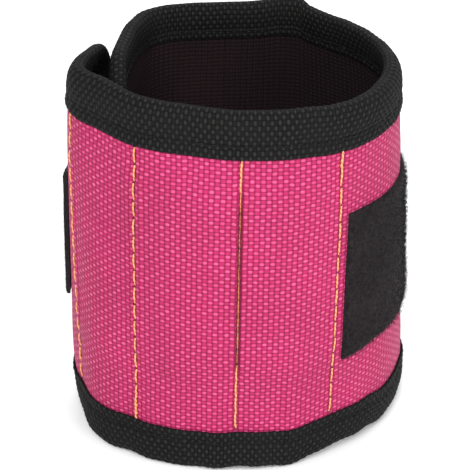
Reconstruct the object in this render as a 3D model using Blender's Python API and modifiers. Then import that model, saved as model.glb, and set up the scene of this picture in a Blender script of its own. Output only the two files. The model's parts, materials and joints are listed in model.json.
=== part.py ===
"""Magnetic wristband for pins and small metal notions.

A fabric strap is rolled into an oval and stands on its lower edge. Its layers are a nylon cover and a mesh
lining, bound together by a folded tape. Three pockets hold trays with block magnets. A loop patch runs round
the outside, and a tab with a hook field closes the strap on it. The strap bends at its seams and creases, so
each stretch between two of them is one rigid body, and its empty stands on the axis that it turns about.

Lengths are in millimetres until a mesh or a location is made. +Z is up and the pockets face -Y. Along the
strap, s runs from the edge of end A, the outer end, to the edge of end B, the inner end.
"""

import math

import bmesh
import bpy
import numpy as np

MM = 0.001

# Strap
STRAP_HEIGHT = 85.0
COVER_THICK = 0.6
LINING_THICK = 1.1
TAPE_THICK = 0.4
LAYER_GAP = 0.2
JOINT_GAP = 0.4
COLUMN_STEP = 3.6
FIRST_COLUMN = 0.3

# Binding tape, folded over the edges, and the radius left inside it where it goes round a free corner
TAPE_OUTSIDE = 10.0
TAPE_INSIDE = 8.0
TAPE_TURN = 1.0
CORNER_RADIUS = TAPE_OUTSIDE + TAPE_TURN
FOLD_CHAMFER = 0.5
CORNER_STEPS = 5
LEG_STEP = 2.5

# Pockets, magnet trays and magnets
SEAM_ROUND = 1.6
PUFF_OUT = 1.7
PUFF_OUT_START = 0.6
PUFF_IN_START = 1.0
PUFF_RISE = 0.6
TRAY_WIDTH = 16.4
TRAY_HEIGHT = 35.0
TRAY_THICK = 2.0
TRAY_CENTRE_Z = 46.5
TRAY_WALL = 0.8
TRAY_FLOOR = 0.5
MAGNETS_PER_TRAY = 2
MAGNET_CLEARANCE = 0.15

# Loop patch and closing tab
LOOP_THICK = 1.2
LOOP_LOW = 26.0
LOOP_HIGH = 63.5
LOOP_FROM_SEAM = 2.0
LOOP_ON_END_B = 8.5
TAB_LOW = 28.0
TAB_HIGH = 58.0
TAB_THICK = 0.6
HOOK_THICK = 0.4
TAB_SEWN = 15.0
TAB_REACH = 6.2
TAB_SEAT_GAP = 0.3

# Corners of the outer face seen from above: name, place at the top edge, place at the bottom edge, rounding.
# Each corner is rounded over that length of both sides, or over half of each side where it says None.
CORNERS = [
    ("edge_a", (-28.4, 12.0), (-32.6, 11.5), None),
    ("", (-29.9, 6.5), (-34.6, 6.0), None),
    ("", (-32.8, 1.0), (-35.3, 0.5), None),
    ("", (-34.9, -3.9), (-35.0, -4.2), None),
    ("seam_1", (-34.0, -7.9), (-34.0, -7.9), SEAM_ROUND),
    ("seam_2", (-20.0, -22.3), (-20.0, -22.3), SEAM_ROUND),
    ("seam_3", (1.0, -27.3), (1.0, -27.3), SEAM_ROUND),
    ("seam_4", (20.9, -21.3), (20.9, -21.3), SEAM_ROUND),
    ("", (28.4, -14.8), (28.6, -14.2), None),
    ("side_crease", (32.3, -7.2), (34.0, -6.9), None),
    ("", (32.6, 0.6), (37.9, 1.6), None),
    ("right_crease", (30.6, 7.6), (39.2, 10.0), None),
    ("", (26.8, 15.2), (36.0, 18.0), None),
    ("", (21.2, 22.0), (28.6, 24.4), None),
    ("back_crease", (14.2, 28.6), (17.5, 29.6), None),
    ("", (7.0, 28.2), (8.0, 29.6), None),
    ("", (-4.0, 27.0), (-4.0, 28.4), None),
    ("", (-14.5, 25.6), (-15.5, 26.6), None),
    ("corner_crease", (-21.4, 21.4), (-22.0, 22.0), None),
    ("", (-23.4, 15.6), (-24.2, 15.4), None),
    ("", (-25.3, 9.2), (-26.3, 8.6), None),
    ("", (-26.3, 2.0), (-27.8, 1.4), None),
    ("edge_b", (-26.2, -8.0), (-28.0, -7.4), None),
]

# Stretches of the strap between two corners; the second pocket is the one that the rest hangs on.
STRETCHES = {
    "end_a": ("edge_a", "seam_1"),
    "pocket_1": ("seam_1", "seam_2"),
    "pocket_2": ("seam_2", "seam_3"),
    "pocket_3": ("seam_3", "seam_4"),
    "side_front": ("seam_4", "side_crease"),
    "side_middle": ("side_crease", "right_crease"),
    "side_rear": ("right_crease", "back_crease"),
    "back": ("back_crease", "corner_crease"),
    "end_b": ("corner_crease", "edge_b"),
}
JOINT_CORNER = {
    "end_a": "seam_1",
    "pocket_1": "seam_2",
    "pocket_3": "seam_3",
    "side_front": "seam_4",
    "side_middle": "side_crease",
    "side_rear": "right_crease",
    "back": "back_crease",
    "end_b": "corner_crease",
}
PARENT_BODY = {
    "pocket_1": "pocket_2",
    "end_a": "pocket_1",
    "pocket_3": "pocket_2",
    "side_front": "pocket_3",
    "side_middle": "side_front",
    "side_rear": "side_middle",
    "back": "side_rear",
    "end_b": "back",
    "tab": "end_a",
}

COLOURS = {
    "cover": ((0.651, 0.056, 0.181, 1), 0.8, 0.0),
    "lining": ((0.009, 0.006, 0.007, 1), 0.95, 0.0),
    "binding": ((0.017, 0.016, 0.015, 1), 0.9, 0.0),
    "loop": ((0.028, 0.023, 0.025, 1), 1.0, 0.0),
    "hook": ((0.012, 0.011, 0.012, 1), 0.7, 0.0),
    "tray": ((0.06, 0.06, 0.065, 1), 0.5, 0.0),
    "magnet": ((0.45, 0.45, 0.46, 1), 0.3, 1.0),
}

# Depths below the cover's outer face, outwards positive
TAPE_FACE = LAYER_GAP + TAPE_THICK
LINING_FACE = -COVER_THICK - LAYER_GAP
TAPE_BACK = LINING_FACE - LINING_THICK - LAYER_GAP - TAPE_THICK
EDGE_INSET = TAPE_THICK + 2 * LAYER_GAP
# How far the lining swells behind a tray, whose outer face lies against the risen cover
PUFF_IN = TRAY_THICK + COVER_THICK + 2 * LAYER_GAP - PUFF_OUT + LINING_FACE
LOOP_FACE = LAYER_GAP + LOOP_THICK
TAB_BUILD = TAB_THICK + LAYER_GAP + HOOK_THICK


def rounded_path(corners, rounding, steps=8):
    """Points along a polygon whose inner corners are rounded, and the index of the middle of each corner."""
    corners = np.array(corners, float)
    sides = np.diff(corners, axis=0)
    lengths = np.linalg.norm(sides, axis=1)
    points, middles = [corners[0]], [0]
    for i in range(1, len(corners) - 1):
        reach = rounding[i] or min(lengths[i - 1], lengths[i]) / 2
        before = corners[i] - sides[i - 1] / lengths[i - 1] * reach
        after = corners[i] + sides[i] / lengths[i] * reach
        middles.append(len(points) + steps // 2)
        for t in np.linspace(0, 1, steps + 1):
            points.append((1 - t) ** 2 * before + 2 * t * (1 - t) * corners[i] + t**2 * after)
    middles.append(len(points))
    points.append(corners[-1])
    return np.array(points), middles


ROUNDING = [corner[3] for corner in CORNERS]
TOP_PATH, MIDDLES = rounded_path([corner[1] for corner in CORNERS], ROUNDING)
BOTTOM_PATH, _ = rounded_path([corner[2] for corner in CORNERS], ROUNDING)
MIDDLE_PATH = (TOP_PATH + BOTTOM_PATH) / 2
RUN = np.concatenate([[0], np.cumsum(np.linalg.norm(np.diff(MIDDLE_PATH, axis=0), axis=1))])
STRAP_LENGTH = RUN[-1]
PLACE = {corner[0]: RUN[middle] for corner, middle in zip(CORNERS, MIDDLES) if corner[0]}


def along(path, s):
    """The point of a path at s, carried on straight past its ends."""
    inside = min(max(s, 0.0), STRAP_LENGTH)
    point = np.array([np.interp(inside, RUN, path[:, k]) for k in (0, 1)])
    if s != inside:
        step = path[1] - path[0] if s < 0 else path[-1] - path[-2]
        point += step / np.linalg.norm(step) * (s - inside)
    return point


def plan_at(s, z):
    share = z / STRAP_HEIGHT
    return along(TOP_PATH, s) * share + along(BOTTOM_PATH, s) * (1 - share)


def outward_at(s, z):
    half_step = JOINT_GAP / 4
    forward = plan_at(s + half_step, z) - plan_at(s - half_step, z)
    forward /= np.linalg.norm(forward)
    return np.array([forward[1], -forward[0]])


def outline_box():
    """The lowest and highest x and y that the strap and its patches reach."""
    reach = []
    for s in np.linspace(0, STRAP_LENGTH, 200):
        face = LOOP_FACE if PLACE["seam_4"] + LOOP_FROM_SEAM < s < PLACE["corner_crease"] else TAPE_FACE
        low, high = (LOOP_LOW, LOOP_HIGH) if face == LOOP_FACE else (0.0, STRAP_HEIGHT)
        if PLACE["seam_1"] < s < PLACE["seam_4"]:
            face = PUFF_OUT
        reach += [plan_at(s, z) + outward_at(s, z) * face for z in (low, high)]
        reach += [plan_at(s, z) + outward_at(s, z) * TAPE_FACE for z in (0.0, STRAP_HEIGHT)]
    return np.min(reach, axis=0), np.max(reach, axis=0)


MIDDLE = np.mean(outline_box(), axis=0)


def wall_point(s, z, depth=0.0):
    x, y = plan_at(s, z) + outward_at(s, z) * depth - MIDDLE
    return np.array([x, y, z])


def steps_between(low, high, step):
    return np.linspace(low, high, max(1, math.ceil((high - low) / step)) + 1)


def columns_between(low, high):
    """Even columns, with one close to each end so that the layers end square to the strap there."""
    inner = steps_between(low + FIRST_COLUMN, high - FIRST_COLUMN, COLUMN_STEP)
    return np.concatenate([[low], inner, [high]])


def hinge_point(body, z=0.0):
    """A point on the axis that the body turns about, at the outermost face of what meets there."""
    if body == "tab":
        return wall_point(0.0, z, TAPE_FACE + LAYER_GAP + TAB_BUILD)
    if body not in JOINT_CORNER:
        return np.zeros(3)
    s = PLACE[JOINT_CORNER[body]]
    return wall_point(s, z, LOOP_FACE if s > PLACE["seam_4"] + LOOP_FROM_SEAM else TAPE_FACE)


def clear_scene():
    for obj in list(bpy.data.objects):
        bpy.data.objects.remove(obj)


def make_materials():
    made = {}
    for name, (colour, roughness, metallic) in COLOURS.items():
        material = bpy.data.materials.new(name)
        material.use_nodes = True
        shader = material.node_tree.nodes["Principled BSDF"]
        shader.inputs["Base Color"].default_value = colour
        shader.inputs["Roughness"].default_value = roughness
        shader.inputs["Metallic"].default_value = metallic
        material.diffuse_color = colour
        made[name] = material
    return made


def make_body_empties():
    """An empty on each joint's axis, each under its parent body's empty, so that turning one unrolls the strap."""
    made = {}
    for body in ["pocket_2", *PARENT_BODY]:
        empty = bpy.data.objects.new(f"joint_{body}", None)
        empty.empty_display_size = 5 * MM
        COLLECTION.objects.link(empty)
        place = hinge_point(body)
        parent = PARENT_BODY.get(body)
        if parent:
            empty.parent = made[parent]
            place = place - hinge_point(parent)
        empty.location = place * MM
        made[body] = empty
    return made


def add_object(name, mesh, body, material):
    obj = bpy.data.objects.new(name, mesh)
    obj.data.materials.append(MATERIALS[material])
    obj.parent = EMPTIES[body]
    COLLECTION.objects.link(obj)
    return obj


def add_skin(name, points, thick, body, material):
    """A sheet through a grid of points in millimetres, thickened away from the side that it faces."""
    columns, rows = len(points) - 1, len(points[0]) - 1
    grid = bmesh.new()
    bmesh.ops.create_grid(grid, x_segments=columns, y_segments=rows, size=1)
    origin = hinge_point(body)
    for vert in grid.verts:
        column = round((vert.co.x + 1) / 2 * columns)
        row = round((vert.co.y + 1) / 2 * rows)
        vert.co = (points[column][row] - origin) * MM
    mesh = bpy.data.meshes.new(name)
    grid.to_mesh(mesh)
    grid.free()
    obj = add_object(name, mesh, body, material)
    solidify = obj.modifiers.new("thickness", "SOLIDIFY")
    solidify.thickness = thick * MM
    solidify.offset = -1
    solidify.use_even_offset = True
    return obj


def stretch_ends(body):
    start, end = (PLACE[corner] for corner in STRETCHES[body])
    low = start if body == "end_a" else start + JOINT_GAP / 2
    high = end if body == "end_b" else end - JOINT_GAP / 2
    return low, high


def layer_rows():
    tray_low = TRAY_CENTRE_Z - TRAY_HEIGHT / 2
    tray_high = TRAY_CENTRE_Z + TRAY_HEIGHT / 2
    below, above = TAPE_OUTSIDE + LAYER_GAP, STRAP_HEIGHT - TAPE_OUTSIDE - LAYER_GAP
    return [EDGE_INSET, below, tray_low - 1, TRAY_CENTRE_Z, tray_high + 1, above, STRAP_HEIGHT - EDGE_INSET]


def pocket_columns(body, start):
    """Columns that are close together at the seams, where the cloth rises over the tray's edges."""
    low, high = stretch_ends(body)
    rise = [0.0, FIRST_COLUMN, start, start + PUFF_RISE]
    return [low + step for step in rise] + [(low + high) / 2] + [high - step for step in rise[::-1]]


def add_pocket_layers(body):
    rows = layer_rows()

    def swell(i, j):
        return 1.0 if 3 <= i <= len(columns) - 4 and 2 <= j <= len(rows) - 3 else 0.0

    for name, face, puff, start, thick in (
        ("cover", 0.0, PUFF_OUT, PUFF_OUT_START, COVER_THICK),
        ("lining", LINING_FACE, -PUFF_IN, PUFF_IN_START, LINING_THICK),
    ):
        columns = pocket_columns(body, start)
        points = [
            [wall_point(s, z, face + puff * swell(i, j)) for j, z in enumerate(rows)]
            for i, s in enumerate(columns)
        ]
        add_skin(f"{name}_{body}", points, thick, body, name)


def add_plain_layers(body):
    low, high = stretch_ends(body)
    columns = columns_between(low, high)
    for name, face, thick in (("cover", 0.0, COVER_THICK), ("lining", LINING_FACE, LINING_THICK)):
        points = [[wall_point(s, z, face) for z in layer_rows()] for s in columns]
        add_skin(f"{name}_{body}", points, thick, body, name)


def add_end_layers(body):
    """The layers of an end, whose two free corners are round."""
    low, high = stretch_ends(body)
    radius = CORNER_RADIUS - EDGE_INSET
    turns = [math.radians(90 * k / CORNER_STEPS) for k in range(CORNER_STEPS + 1)]
    from_edge = [CORNER_RADIUS - radius * math.cos(turn) for turn in turns]
    insets = [EDGE_INSET + radius * (1 - math.sin(turn)) for turn in turns]
    for s in columns_between(CORNER_RADIUS, high - low)[1:]:
        from_edge.append(s)
        insets.append(EDGE_INSET)
    if body == "end_b":
        columns = [(high - distance, inset) for distance, inset in zip(from_edge, insets)][::-1]
    else:
        columns = [(low + distance, inset) for distance, inset in zip(from_edge, insets)]
    shares = (np.array(layer_rows()) - EDGE_INSET) / (STRAP_HEIGHT - 2 * EDGE_INSET)
    for name, face, thick in (("cover", 0.0, COVER_THICK), ("lining", LINING_FACE, LINING_THICK)):
        points = [
            [wall_point(s, inset + share * (STRAP_HEIGHT - 2 * inset), face) for share in shares]
            for s, inset in columns
        ]
        add_skin(f"{name}_{body}", points, thick, body, name)


def add_binding(name, body, edge, leg_steps=1):
    """Tape folded over an edge: edge lists (s, z, inward s, inward z), with the strap to the right of it."""
    fold = [(inset, TAPE_FACE) for inset in np.linspace(TAPE_OUTSIDE, FOLD_CHAMFER, leg_steps + 1)]
    fold += [(0.0, TAPE_FACE - FOLD_CHAMFER), (0.0, TAPE_BACK + FOLD_CHAMFER)]
    fold += [(inset, TAPE_BACK) for inset in np.linspace(FOLD_CHAMFER, TAPE_INSIDE, leg_steps + 1)]
    points = [
        [wall_point(s + in_s * inset, z + in_z * inset, depth) for inset, depth in fold]
        for s, z, in_s, in_z in edge
    ]
    add_skin(name, points, TAPE_THICK, body, "binding")


def add_straight_bindings(body):
    low, high = stretch_ends(body)
    if body.startswith("pocket"):
        places = np.array([low, low + SEAM_ROUND, (low + high) / 2, high - SEAM_ROUND, high])
    else:
        places = columns_between(low, high)
    add_binding(f"binding_top_{body}", body, [(s, STRAP_HEIGHT, 0, -1) for s in places])
    add_binding(f"binding_bottom_{body}", body, [(s, 0.0, 0, 1) for s in places[::-1]])


def add_end_binding(body):
    """One length of tape along the bottom, up round the free edge and back along the top, or the reverse."""
    low, high = stretch_ends(body)
    turns = [math.radians(90 * k / CORNER_STEPS) for k in range(CORNER_STEPS + 1)]
    straight = columns_between(CORNER_RADIUS, high - low)[:0:-1]
    half = [(distance, 0.0, 0.0, 1.0) for distance in straight]
    for turn in turns:
        across, up = math.sin(turn), math.cos(turn)
        half.append((CORNER_RADIUS * (1 - across), CORNER_RADIUS * (1 - up), across, up))
    other = [(distance, STRAP_HEIGHT - z, in_s, -in_z) for distance, z, in_s, in_z in half[::-1]]
    edge = half + other
    if body == "end_a":
        edge = [(low + distance, z, in_s, in_z) for distance, z, in_s, in_z in edge]
    else:
        edge = [(high - distance, z, -in_s, in_z) for distance, z, in_s, in_z in edge[::-1]]
    add_binding(f"binding_{body}", body, edge, leg_steps=math.ceil(TAPE_OUTSIDE / LEG_STEP))


def box_mesh(name, width, depth, height, bevel=0.0):
    block = bmesh.new()
    bmesh.ops.create_cube(block, size=1)
    bmesh.ops.scale(block, vec=(width * MM, depth * MM, height * MM), verts=block.verts)
    if bevel:
        upright = [e for e in block.edges if abs(e.verts[0].co.z - e.verts[1].co.z) < MM * depth / 2]
        across = [e for e in upright if abs(e.verts[0].co.y - e.verts[1].co.y) > MM * depth / 2]
        bmesh.ops.bevel(block, geom=across, offset=bevel * MM, segments=2, affect="EDGES", profile=0.5)
    mesh = bpy.data.meshes.new(name)
    block.to_mesh(mesh)
    block.free()
    return mesh


def pocket_frame(body):
    """The middle of a pocket's tray, and the angle that turns +X along the pocket."""
    low, high = stretch_ends(body)
    first, last = wall_point(low, TRAY_CENTRE_Z), wall_point(high, TRAY_CENTRE_Z)
    along_x, along_y = (last - first)[:2] / np.linalg.norm((last - first)[:2])
    outer = PUFF_OUT - COVER_THICK - LAYER_GAP
    centre = wall_point((low + high) / 2, TRAY_CENTRE_Z, outer - TRAY_THICK / 2)
    return centre, math.atan2(along_y, along_x)


def add_tray(body, number):
    """A tray open to the outside, with one recess for each magnet, and the magnets in it."""
    centre, angle = pocket_frame(body)
    cell = (TRAY_HEIGHT - TRAY_WALL * (MAGNETS_PER_TRAY + 1)) / MAGNETS_PER_TRAY
    inner_width = TRAY_WIDTH - 2 * TRAY_WALL
    origin = hinge_point(body)
    tray_mesh = box_mesh("tray", TRAY_WIDTH, TRAY_THICK, TRAY_HEIGHT, bevel=1.5)
    tray = add_object(f"magnet_tray_{number}", tray_mesh, body, "tray")
    tray.location = (centre - origin) * MM
    tray.rotation_euler.z = angle
    forward = np.array([math.sin(angle), -math.cos(angle), 0.0])
    for k in range(MAGNETS_PER_TRAY):
        rise = (k - (MAGNETS_PER_TRAY - 1) / 2) * (cell + TRAY_WALL)
        cutter = bpy.data.objects.new(f"recess_{number}_{k + 1}", box_mesh("recess", inner_width, TRAY_THICK, cell))
        cutter.parent = EMPTIES[body]
        cutter.location = (centre - origin + forward * TRAY_FLOOR + np.array([0, 0, rise])) * MM
        cutter.rotation_euler.z = angle
        cutter.hide_render = True
        cutter.display_type = "WIRE"
        CUTTERS.objects.link(cutter)
        cut = tray.modifiers.new(f"recess_{k + 1}", "BOOLEAN")
        cut.operation = "DIFFERENCE"
        cut.object = cutter
        thick = TRAY_THICK - TRAY_FLOOR - 2 * MAGNET_CLEARANCE
        size = (inner_width - 2 * MAGNET_CLEARANCE, thick, cell - 2 * MAGNET_CLEARANCE)
        magnet = add_object(f"magnet_{number}_{k + 1}", box_mesh("magnet", *size), body, "magnet")
        magnet.location = (centre - origin + forward * TRAY_FLOOR / 2 + np.array([0, 0, rise])) * MM
        magnet.rotation_euler.z = angle


def add_loop_patch(body):
    low, high = stretch_ends(body)
    if body == "side_front":
        low += LOOP_FROM_SEAM
    if body == "end_b":
        high = low + LOOP_ON_END_B
    rows = (LOOP_LOW, (LOOP_LOW + LOOP_HIGH) / 2, LOOP_HIGH)
    points = [[wall_point(s, z, LOOP_FACE) for z in rows] for s in columns_between(low, high)]
    add_skin(f"loop_patch_{body}", points, LOOP_THICK, body, "loop")


def add_tab_root():
    """The tab's sewn end lies on the cover, then passes over the binding of end A."""
    on_cover, on_tape = LAYER_GAP + TAB_BUILD, TAPE_FACE + LAYER_GAP + TAB_BUILD
    over_tape = TAPE_OUTSIDE + 2 * LAYER_GAP
    columns = [JOINT_GAP / 2, over_tape / 3, over_tape * 2 / 3, over_tape]
    columns += list(steps_between(over_tape + TAB_BUILD, TAB_SEWN, COLUMN_STEP))
    rows = steps_between(TAB_LOW, TAB_HIGH, 15.0)
    points = [[wall_point(s, z, on_tape if s <= over_tape else on_cover) for z in rows] for s in columns]
    add_skin("tab_root", points, TAB_BUILD, "end_a", "hook")


def tab_route(z):
    """The free tab's outer face at a height: off the edge of end A and onto the loop patch of end B."""
    on_tape = TAPE_FACE + LAYER_GAP + TAB_BUILD
    on_loop = LOOP_FACE + TAB_SEAT_GAP + TAB_BUILD
    patch_end = PLACE["corner_crease"] + JOINT_GAP / 2 + LOOP_ON_END_B
    corners = [
        wall_point(-JOINT_GAP / 2, z, on_tape),
        wall_point(-TAB_BUILD * 2, z, on_tape),
        wall_point(patch_end, z, on_loop),
        wall_point(patch_end - TAB_REACH, z, on_loop),
    ]
    route, _ = rounded_path([corner[:2] for corner in corners], [None] * 4, steps=4)
    return route


def add_tab():
    """The free tab and the hook field on its inner face."""
    heights = steps_between(TAB_LOW, TAB_HIGH, 15.0)
    routes = [tab_route(z) for z in heights]
    inner_routes = []
    for route in routes:
        forward = np.gradient(route, axis=0)
        forward /= np.linalg.norm(forward, axis=1)[:, None]
        inward = np.stack([forward[:, 1], -forward[:, 0]], axis=1)
        inner_routes.append(route + inward * (TAB_THICK + LAYER_GAP))
    tab_points = [
        [np.array([*route[i], z]) for route, z in zip(routes, heights)] for i in range(len(routes[0]))
    ]
    add_skin("closing_tab", tab_points[::-1], TAB_THICK, "tab", "hook")
    hook_points = [
        [np.array([*route[i], z]) for route, z in zip(inner_routes, heights)]
        for i in range(len(routes[0]))
    ]
    add_skin("hook_field", hook_points[::-1], HOOK_THICK, "tab", "hook")


clear_scene()
COLLECTION = bpy.data.collections.new("magnetic_wristband")
CUTTERS = bpy.data.collections.new("cutters")
for collection in (COLLECTION, CUTTERS):
    bpy.context.scene.collection.children.link(collection)
MATERIALS = make_materials()
EMPTIES = make_body_empties()

for end in ("end_a", "end_b"):
    add_end_layers(end)
    add_end_binding(end)
for index, pocket in enumerate(("pocket_1", "pocket_2", "pocket_3"), start=1):
    add_pocket_layers(pocket)
    add_straight_bindings(pocket)
    add_tray(pocket, index)
for stretch in ("side_front", "side_middle", "side_rear", "back"):
    add_plain_layers(stretch)
    add_straight_bindings(stretch)
for stretch in ("side_front", "side_middle", "side_rear", "back", "end_b"):
    add_loop_patch(stretch)
add_tab_root()
add_tab()
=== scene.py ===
"""Looks of the magnetic pin wristband: cloth, tape, thread, hook-and-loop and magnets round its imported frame.

Places on the strap are in millimetres. s runs along it from the edge of end A to the edge of end B, z is the
height, and depth is measured from the face of the cover, outwards positive. Meshes are in metres.
"""

import json
import math

import bmesh
import bpy
import numpy as np
from mathutils import Matrix, Vector

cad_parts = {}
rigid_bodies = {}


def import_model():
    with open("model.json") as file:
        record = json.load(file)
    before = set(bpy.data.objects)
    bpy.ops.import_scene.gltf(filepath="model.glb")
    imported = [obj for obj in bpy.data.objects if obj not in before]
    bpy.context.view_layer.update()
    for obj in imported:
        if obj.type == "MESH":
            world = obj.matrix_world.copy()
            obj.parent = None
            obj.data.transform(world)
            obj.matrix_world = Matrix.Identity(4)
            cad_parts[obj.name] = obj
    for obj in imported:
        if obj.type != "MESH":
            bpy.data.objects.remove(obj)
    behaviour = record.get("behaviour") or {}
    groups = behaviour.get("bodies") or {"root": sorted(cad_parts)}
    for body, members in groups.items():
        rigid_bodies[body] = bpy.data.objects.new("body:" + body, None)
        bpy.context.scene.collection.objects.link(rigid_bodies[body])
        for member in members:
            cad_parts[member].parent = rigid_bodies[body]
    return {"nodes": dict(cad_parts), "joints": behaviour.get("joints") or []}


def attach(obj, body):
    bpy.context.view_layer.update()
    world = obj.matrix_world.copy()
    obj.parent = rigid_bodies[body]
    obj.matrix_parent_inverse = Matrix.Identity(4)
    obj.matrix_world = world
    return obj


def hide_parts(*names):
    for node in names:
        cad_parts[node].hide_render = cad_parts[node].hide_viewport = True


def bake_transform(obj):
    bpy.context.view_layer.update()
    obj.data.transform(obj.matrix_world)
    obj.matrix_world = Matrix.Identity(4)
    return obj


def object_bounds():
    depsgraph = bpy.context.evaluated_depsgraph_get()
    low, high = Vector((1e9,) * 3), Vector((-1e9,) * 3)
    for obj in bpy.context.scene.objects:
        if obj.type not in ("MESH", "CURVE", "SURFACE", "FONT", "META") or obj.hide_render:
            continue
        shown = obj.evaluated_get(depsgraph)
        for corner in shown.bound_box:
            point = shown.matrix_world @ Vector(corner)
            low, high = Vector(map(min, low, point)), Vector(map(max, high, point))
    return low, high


bl_info = {
    "name": "Magnetic pin wristband",
    "version": (1, 0, 0),
    "blender": (4, 5, 0),
    "location": "3D View > Sidebar > Wristband",
    "description": "Builds the cloth, tape, thread and magnets of a wristband for pins",
    "category": "Add Mesh",
}

for startup_object in list(bpy.data.objects):
    bpy.data.objects.remove(startup_object)
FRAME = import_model()
CAD_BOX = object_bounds()

MM = 0.001
HEIGHT = CAD_BOX[1].z / MM
CLOTH_UV = "cloth"

# Thickness of the layers, and the depth of each one's outer face
COVER_THICK = 0.55
LINING_THICK = 1.0
LINING_FACE = -0.8
RIB_PITCH, RIB = 1.3, 0.2
LAYER_GAP = 0.12
TAPE_THICK = 0.36
EDGE_INSET = 1.0
CORNER_RADIUS = 11.0

# Spacing of the cloth grids
COLUMN_STEP = 0.55
SEAM_COLUMN_STEP = 0.2
ROW_STEP = 0.75
LINING_ROW_STEP = 2.0
TAPE_STEP = 0.26
FINE_REACH = 2.4
SHARP_ANGLE = math.radians(55)

# Places along the outer face of the cover: (x, y) at the top edge and at the bottom edge, how far the wall
# swells out between them, and how far the bottom and the top edge are off level.
STRAP = [
    ("edge_a", (-28.1, 11.1), (-32.4, 10.6), 1.6, 0.6, -0.3),
    ("", (-30.3, 5.9), (-33.8, 5.0), 2.6, 0.5, -0.2),
    ("", (-31.9, 1.4), (-34.2, 0.9), 3.3, 0.4, -0.2),
    ("", (-33.5, -3.2), (-34.0, -3.6), 3.2, 0.4, 0.2),
    ("seam_1", (-34.4, -9.0), (-33.5, -9.6), 1.2, 0.3, 0.3),
    ("", (-29.0, -16.0), (-30.1, -17.4), 0.5, 0.2, 0.5),
    ("seam_2", (-21.6, -22.7), (-21.9, -23.4), 0.3, 0.3, 0.0),
    ("", (-11.3, -26.2), (-11.4, -26.7), 0.4, 0.05, -0.2),
    ("seam_3", (-0.8, -28.1), (-0.8, -28.1), 0.2, 1.3, -0.3),
    ("", (9.6, -26.6), (9.6, -26.2), 0.4, 0.2, -0.3),
    ("seam_4", (18.8, -23.0), (19.0, -21.9), 0.3, 2.3, -0.8),
    ("", (24.9, -16.7), (26.2, -15.7), 0.6, 2.4, -0.6),
    ("side_crease", (28.7, -8.7), (31.6, -7.7), 1.2, 1.1, -0.2),
    ("", (29.6, -1.0), (34.4, 0.6), 1.5, 0.5, 0.1),
    ("right_crease", (28.0, 6.6), (35.6, 9.2), 1.5, 0.4, 0.0),
    ("", (24.9, 12.8), (33.0, 15.6), 1.2, 0.4, 0.1),
    ("", (21.1, 18.4), (28.9, 21.2), 0.8, 0.5, -0.2),
    ("", (16.4, 23.0), (22.4, 25.8), 0.5, 0.5, -0.5),
    ("back_crease", (12.6, 26.4), (15.7, 28.3), 0.2, 0.4, -0.1),
    ("", (8.1, 27.5), (9.4, 28.8), 0.3, 0.4, 0.3),
    ("", (-0.8, 26.7), (-0.5, 28.2), 0.5, 0.3, 0.0),
    ("", (-8.6, 25.8), (-9.0, 26.9), 0.5, 0.4, 0.1),
    ("", (-17.0, 24.2), (-17.8, 25.2), 0.4, 0.5, 0.0),
    ("corner_crease", (-22.3, 20.5), (-22.9, 21.1), 0.2, 0.4, 0.0),
    ("", (-24.6, 15.1), (-25.6, 15.2), 0.2, 0.3, 0.0),
    ("", (-26.2, 6.8), (-27.0, 6.2), 0.3, 0.3, -0.2),
    ("", (-26.9, -1.0), (-27.6, -1.3), 0.3, 0.3, -0.2),
    ("edge_b", (-26.1, -8.7), (-27.1, -8.4), 0.2, 0.3, -0.3),
]

# The rigid stretches of the strap in order, and the joint that each two neighbours share
BODIES = [
    *("end_a", "pocket_1", "pocket_2", "pocket_3", "side_front"),
    *("side_middle", "side_rear", "back", "end_b"),
]
CREASES = [name for name, *_ in STRAP if name and not name.startswith("edge")]
BLEND_REACH = {"seam": 1.9, "side": 5.0, "right": 6.0, "back": 4.0, "corner": 4.5}

# How deep the trays sit, the cloth's room round them, and at each of the four seams: the depth of the cover
# along the trays and at the seam's ends, and how wide it climbs from there on to a tray
TRAY_SUNK = 0.5
TRAY_ROOM = 0.15
SEAM_DEPTH = {1: 0.4, 2: 0.15, 3: -1.5, 4: 0.2}
SEAM_DEPTH_AT_ENDS = {1: 0.0, 2: -0.1, 3: -0.45, 4: -0.05}
SHOULDER = {1: 1.3, 2: 1.5, 3: 0.8, 4: 1.5}

# How far past a tray's ends the cloth stays up, how wide and how long the V at a seam's end is, the least that
# the cover rises on a tray, and how much it puffs above that
TRAY_END_ROOM = 0.8
SHOULDER_FAN, FAN_LENGTH = 3.6, 11
LEAST_RISE = PUFF = 0.35

# Loop patch and closing tab
LOOP_HIGH = 60.1
LOOP_LOW, LOOP_LOW_BEHIND = 23.8, 26.0
LOOP_FROM_SEAM = 2.1
LOOP_ON_END_B = 8.4
LOOP_BASE, LOOP_EDGE, LOOP_ROUND = 0.85, 0.12, 1.1
LOOP_STEP = 0.7
TAB_LOW, TAB_HIGH = 28.2, 57.8
TAB_SEWN = 14.6
TAB_REACH = 6.0
TAB_THICK = 0.95
TAB_ON_TAPE = 0.7
TAB_ON_LOOP = 2.05
TAB_PAST_EDGE = 1.6
TAB_HINGE_REACH = 1.5
TAB_ROW_STEP = 0.8
HOOK_BASE = 0.25

# Stitching
SEAM_PITCH = 4.0
SEAM_LOW, SEAM_HIGH = 10.6, 74.6
TAPE_PITCH = 3.4
TAPE_RIB, TAPE_PIP, TAPE_RELIEF = 0.78, 1.1, 0.1
TAPE_STITCH_INSET = 7.2
# The side that each black row faces, its distance from the strap's edge, and its depth
TAPE_STITCH_ROWS = ((1, TAPE_STITCH_INSET, 0.43), (-1, 6.0, -2.49))
NEEDLE_PULL = 0.09
THREAD_TWIST = 0.0011


# ---------------------------------------------------------------- strap shape


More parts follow.
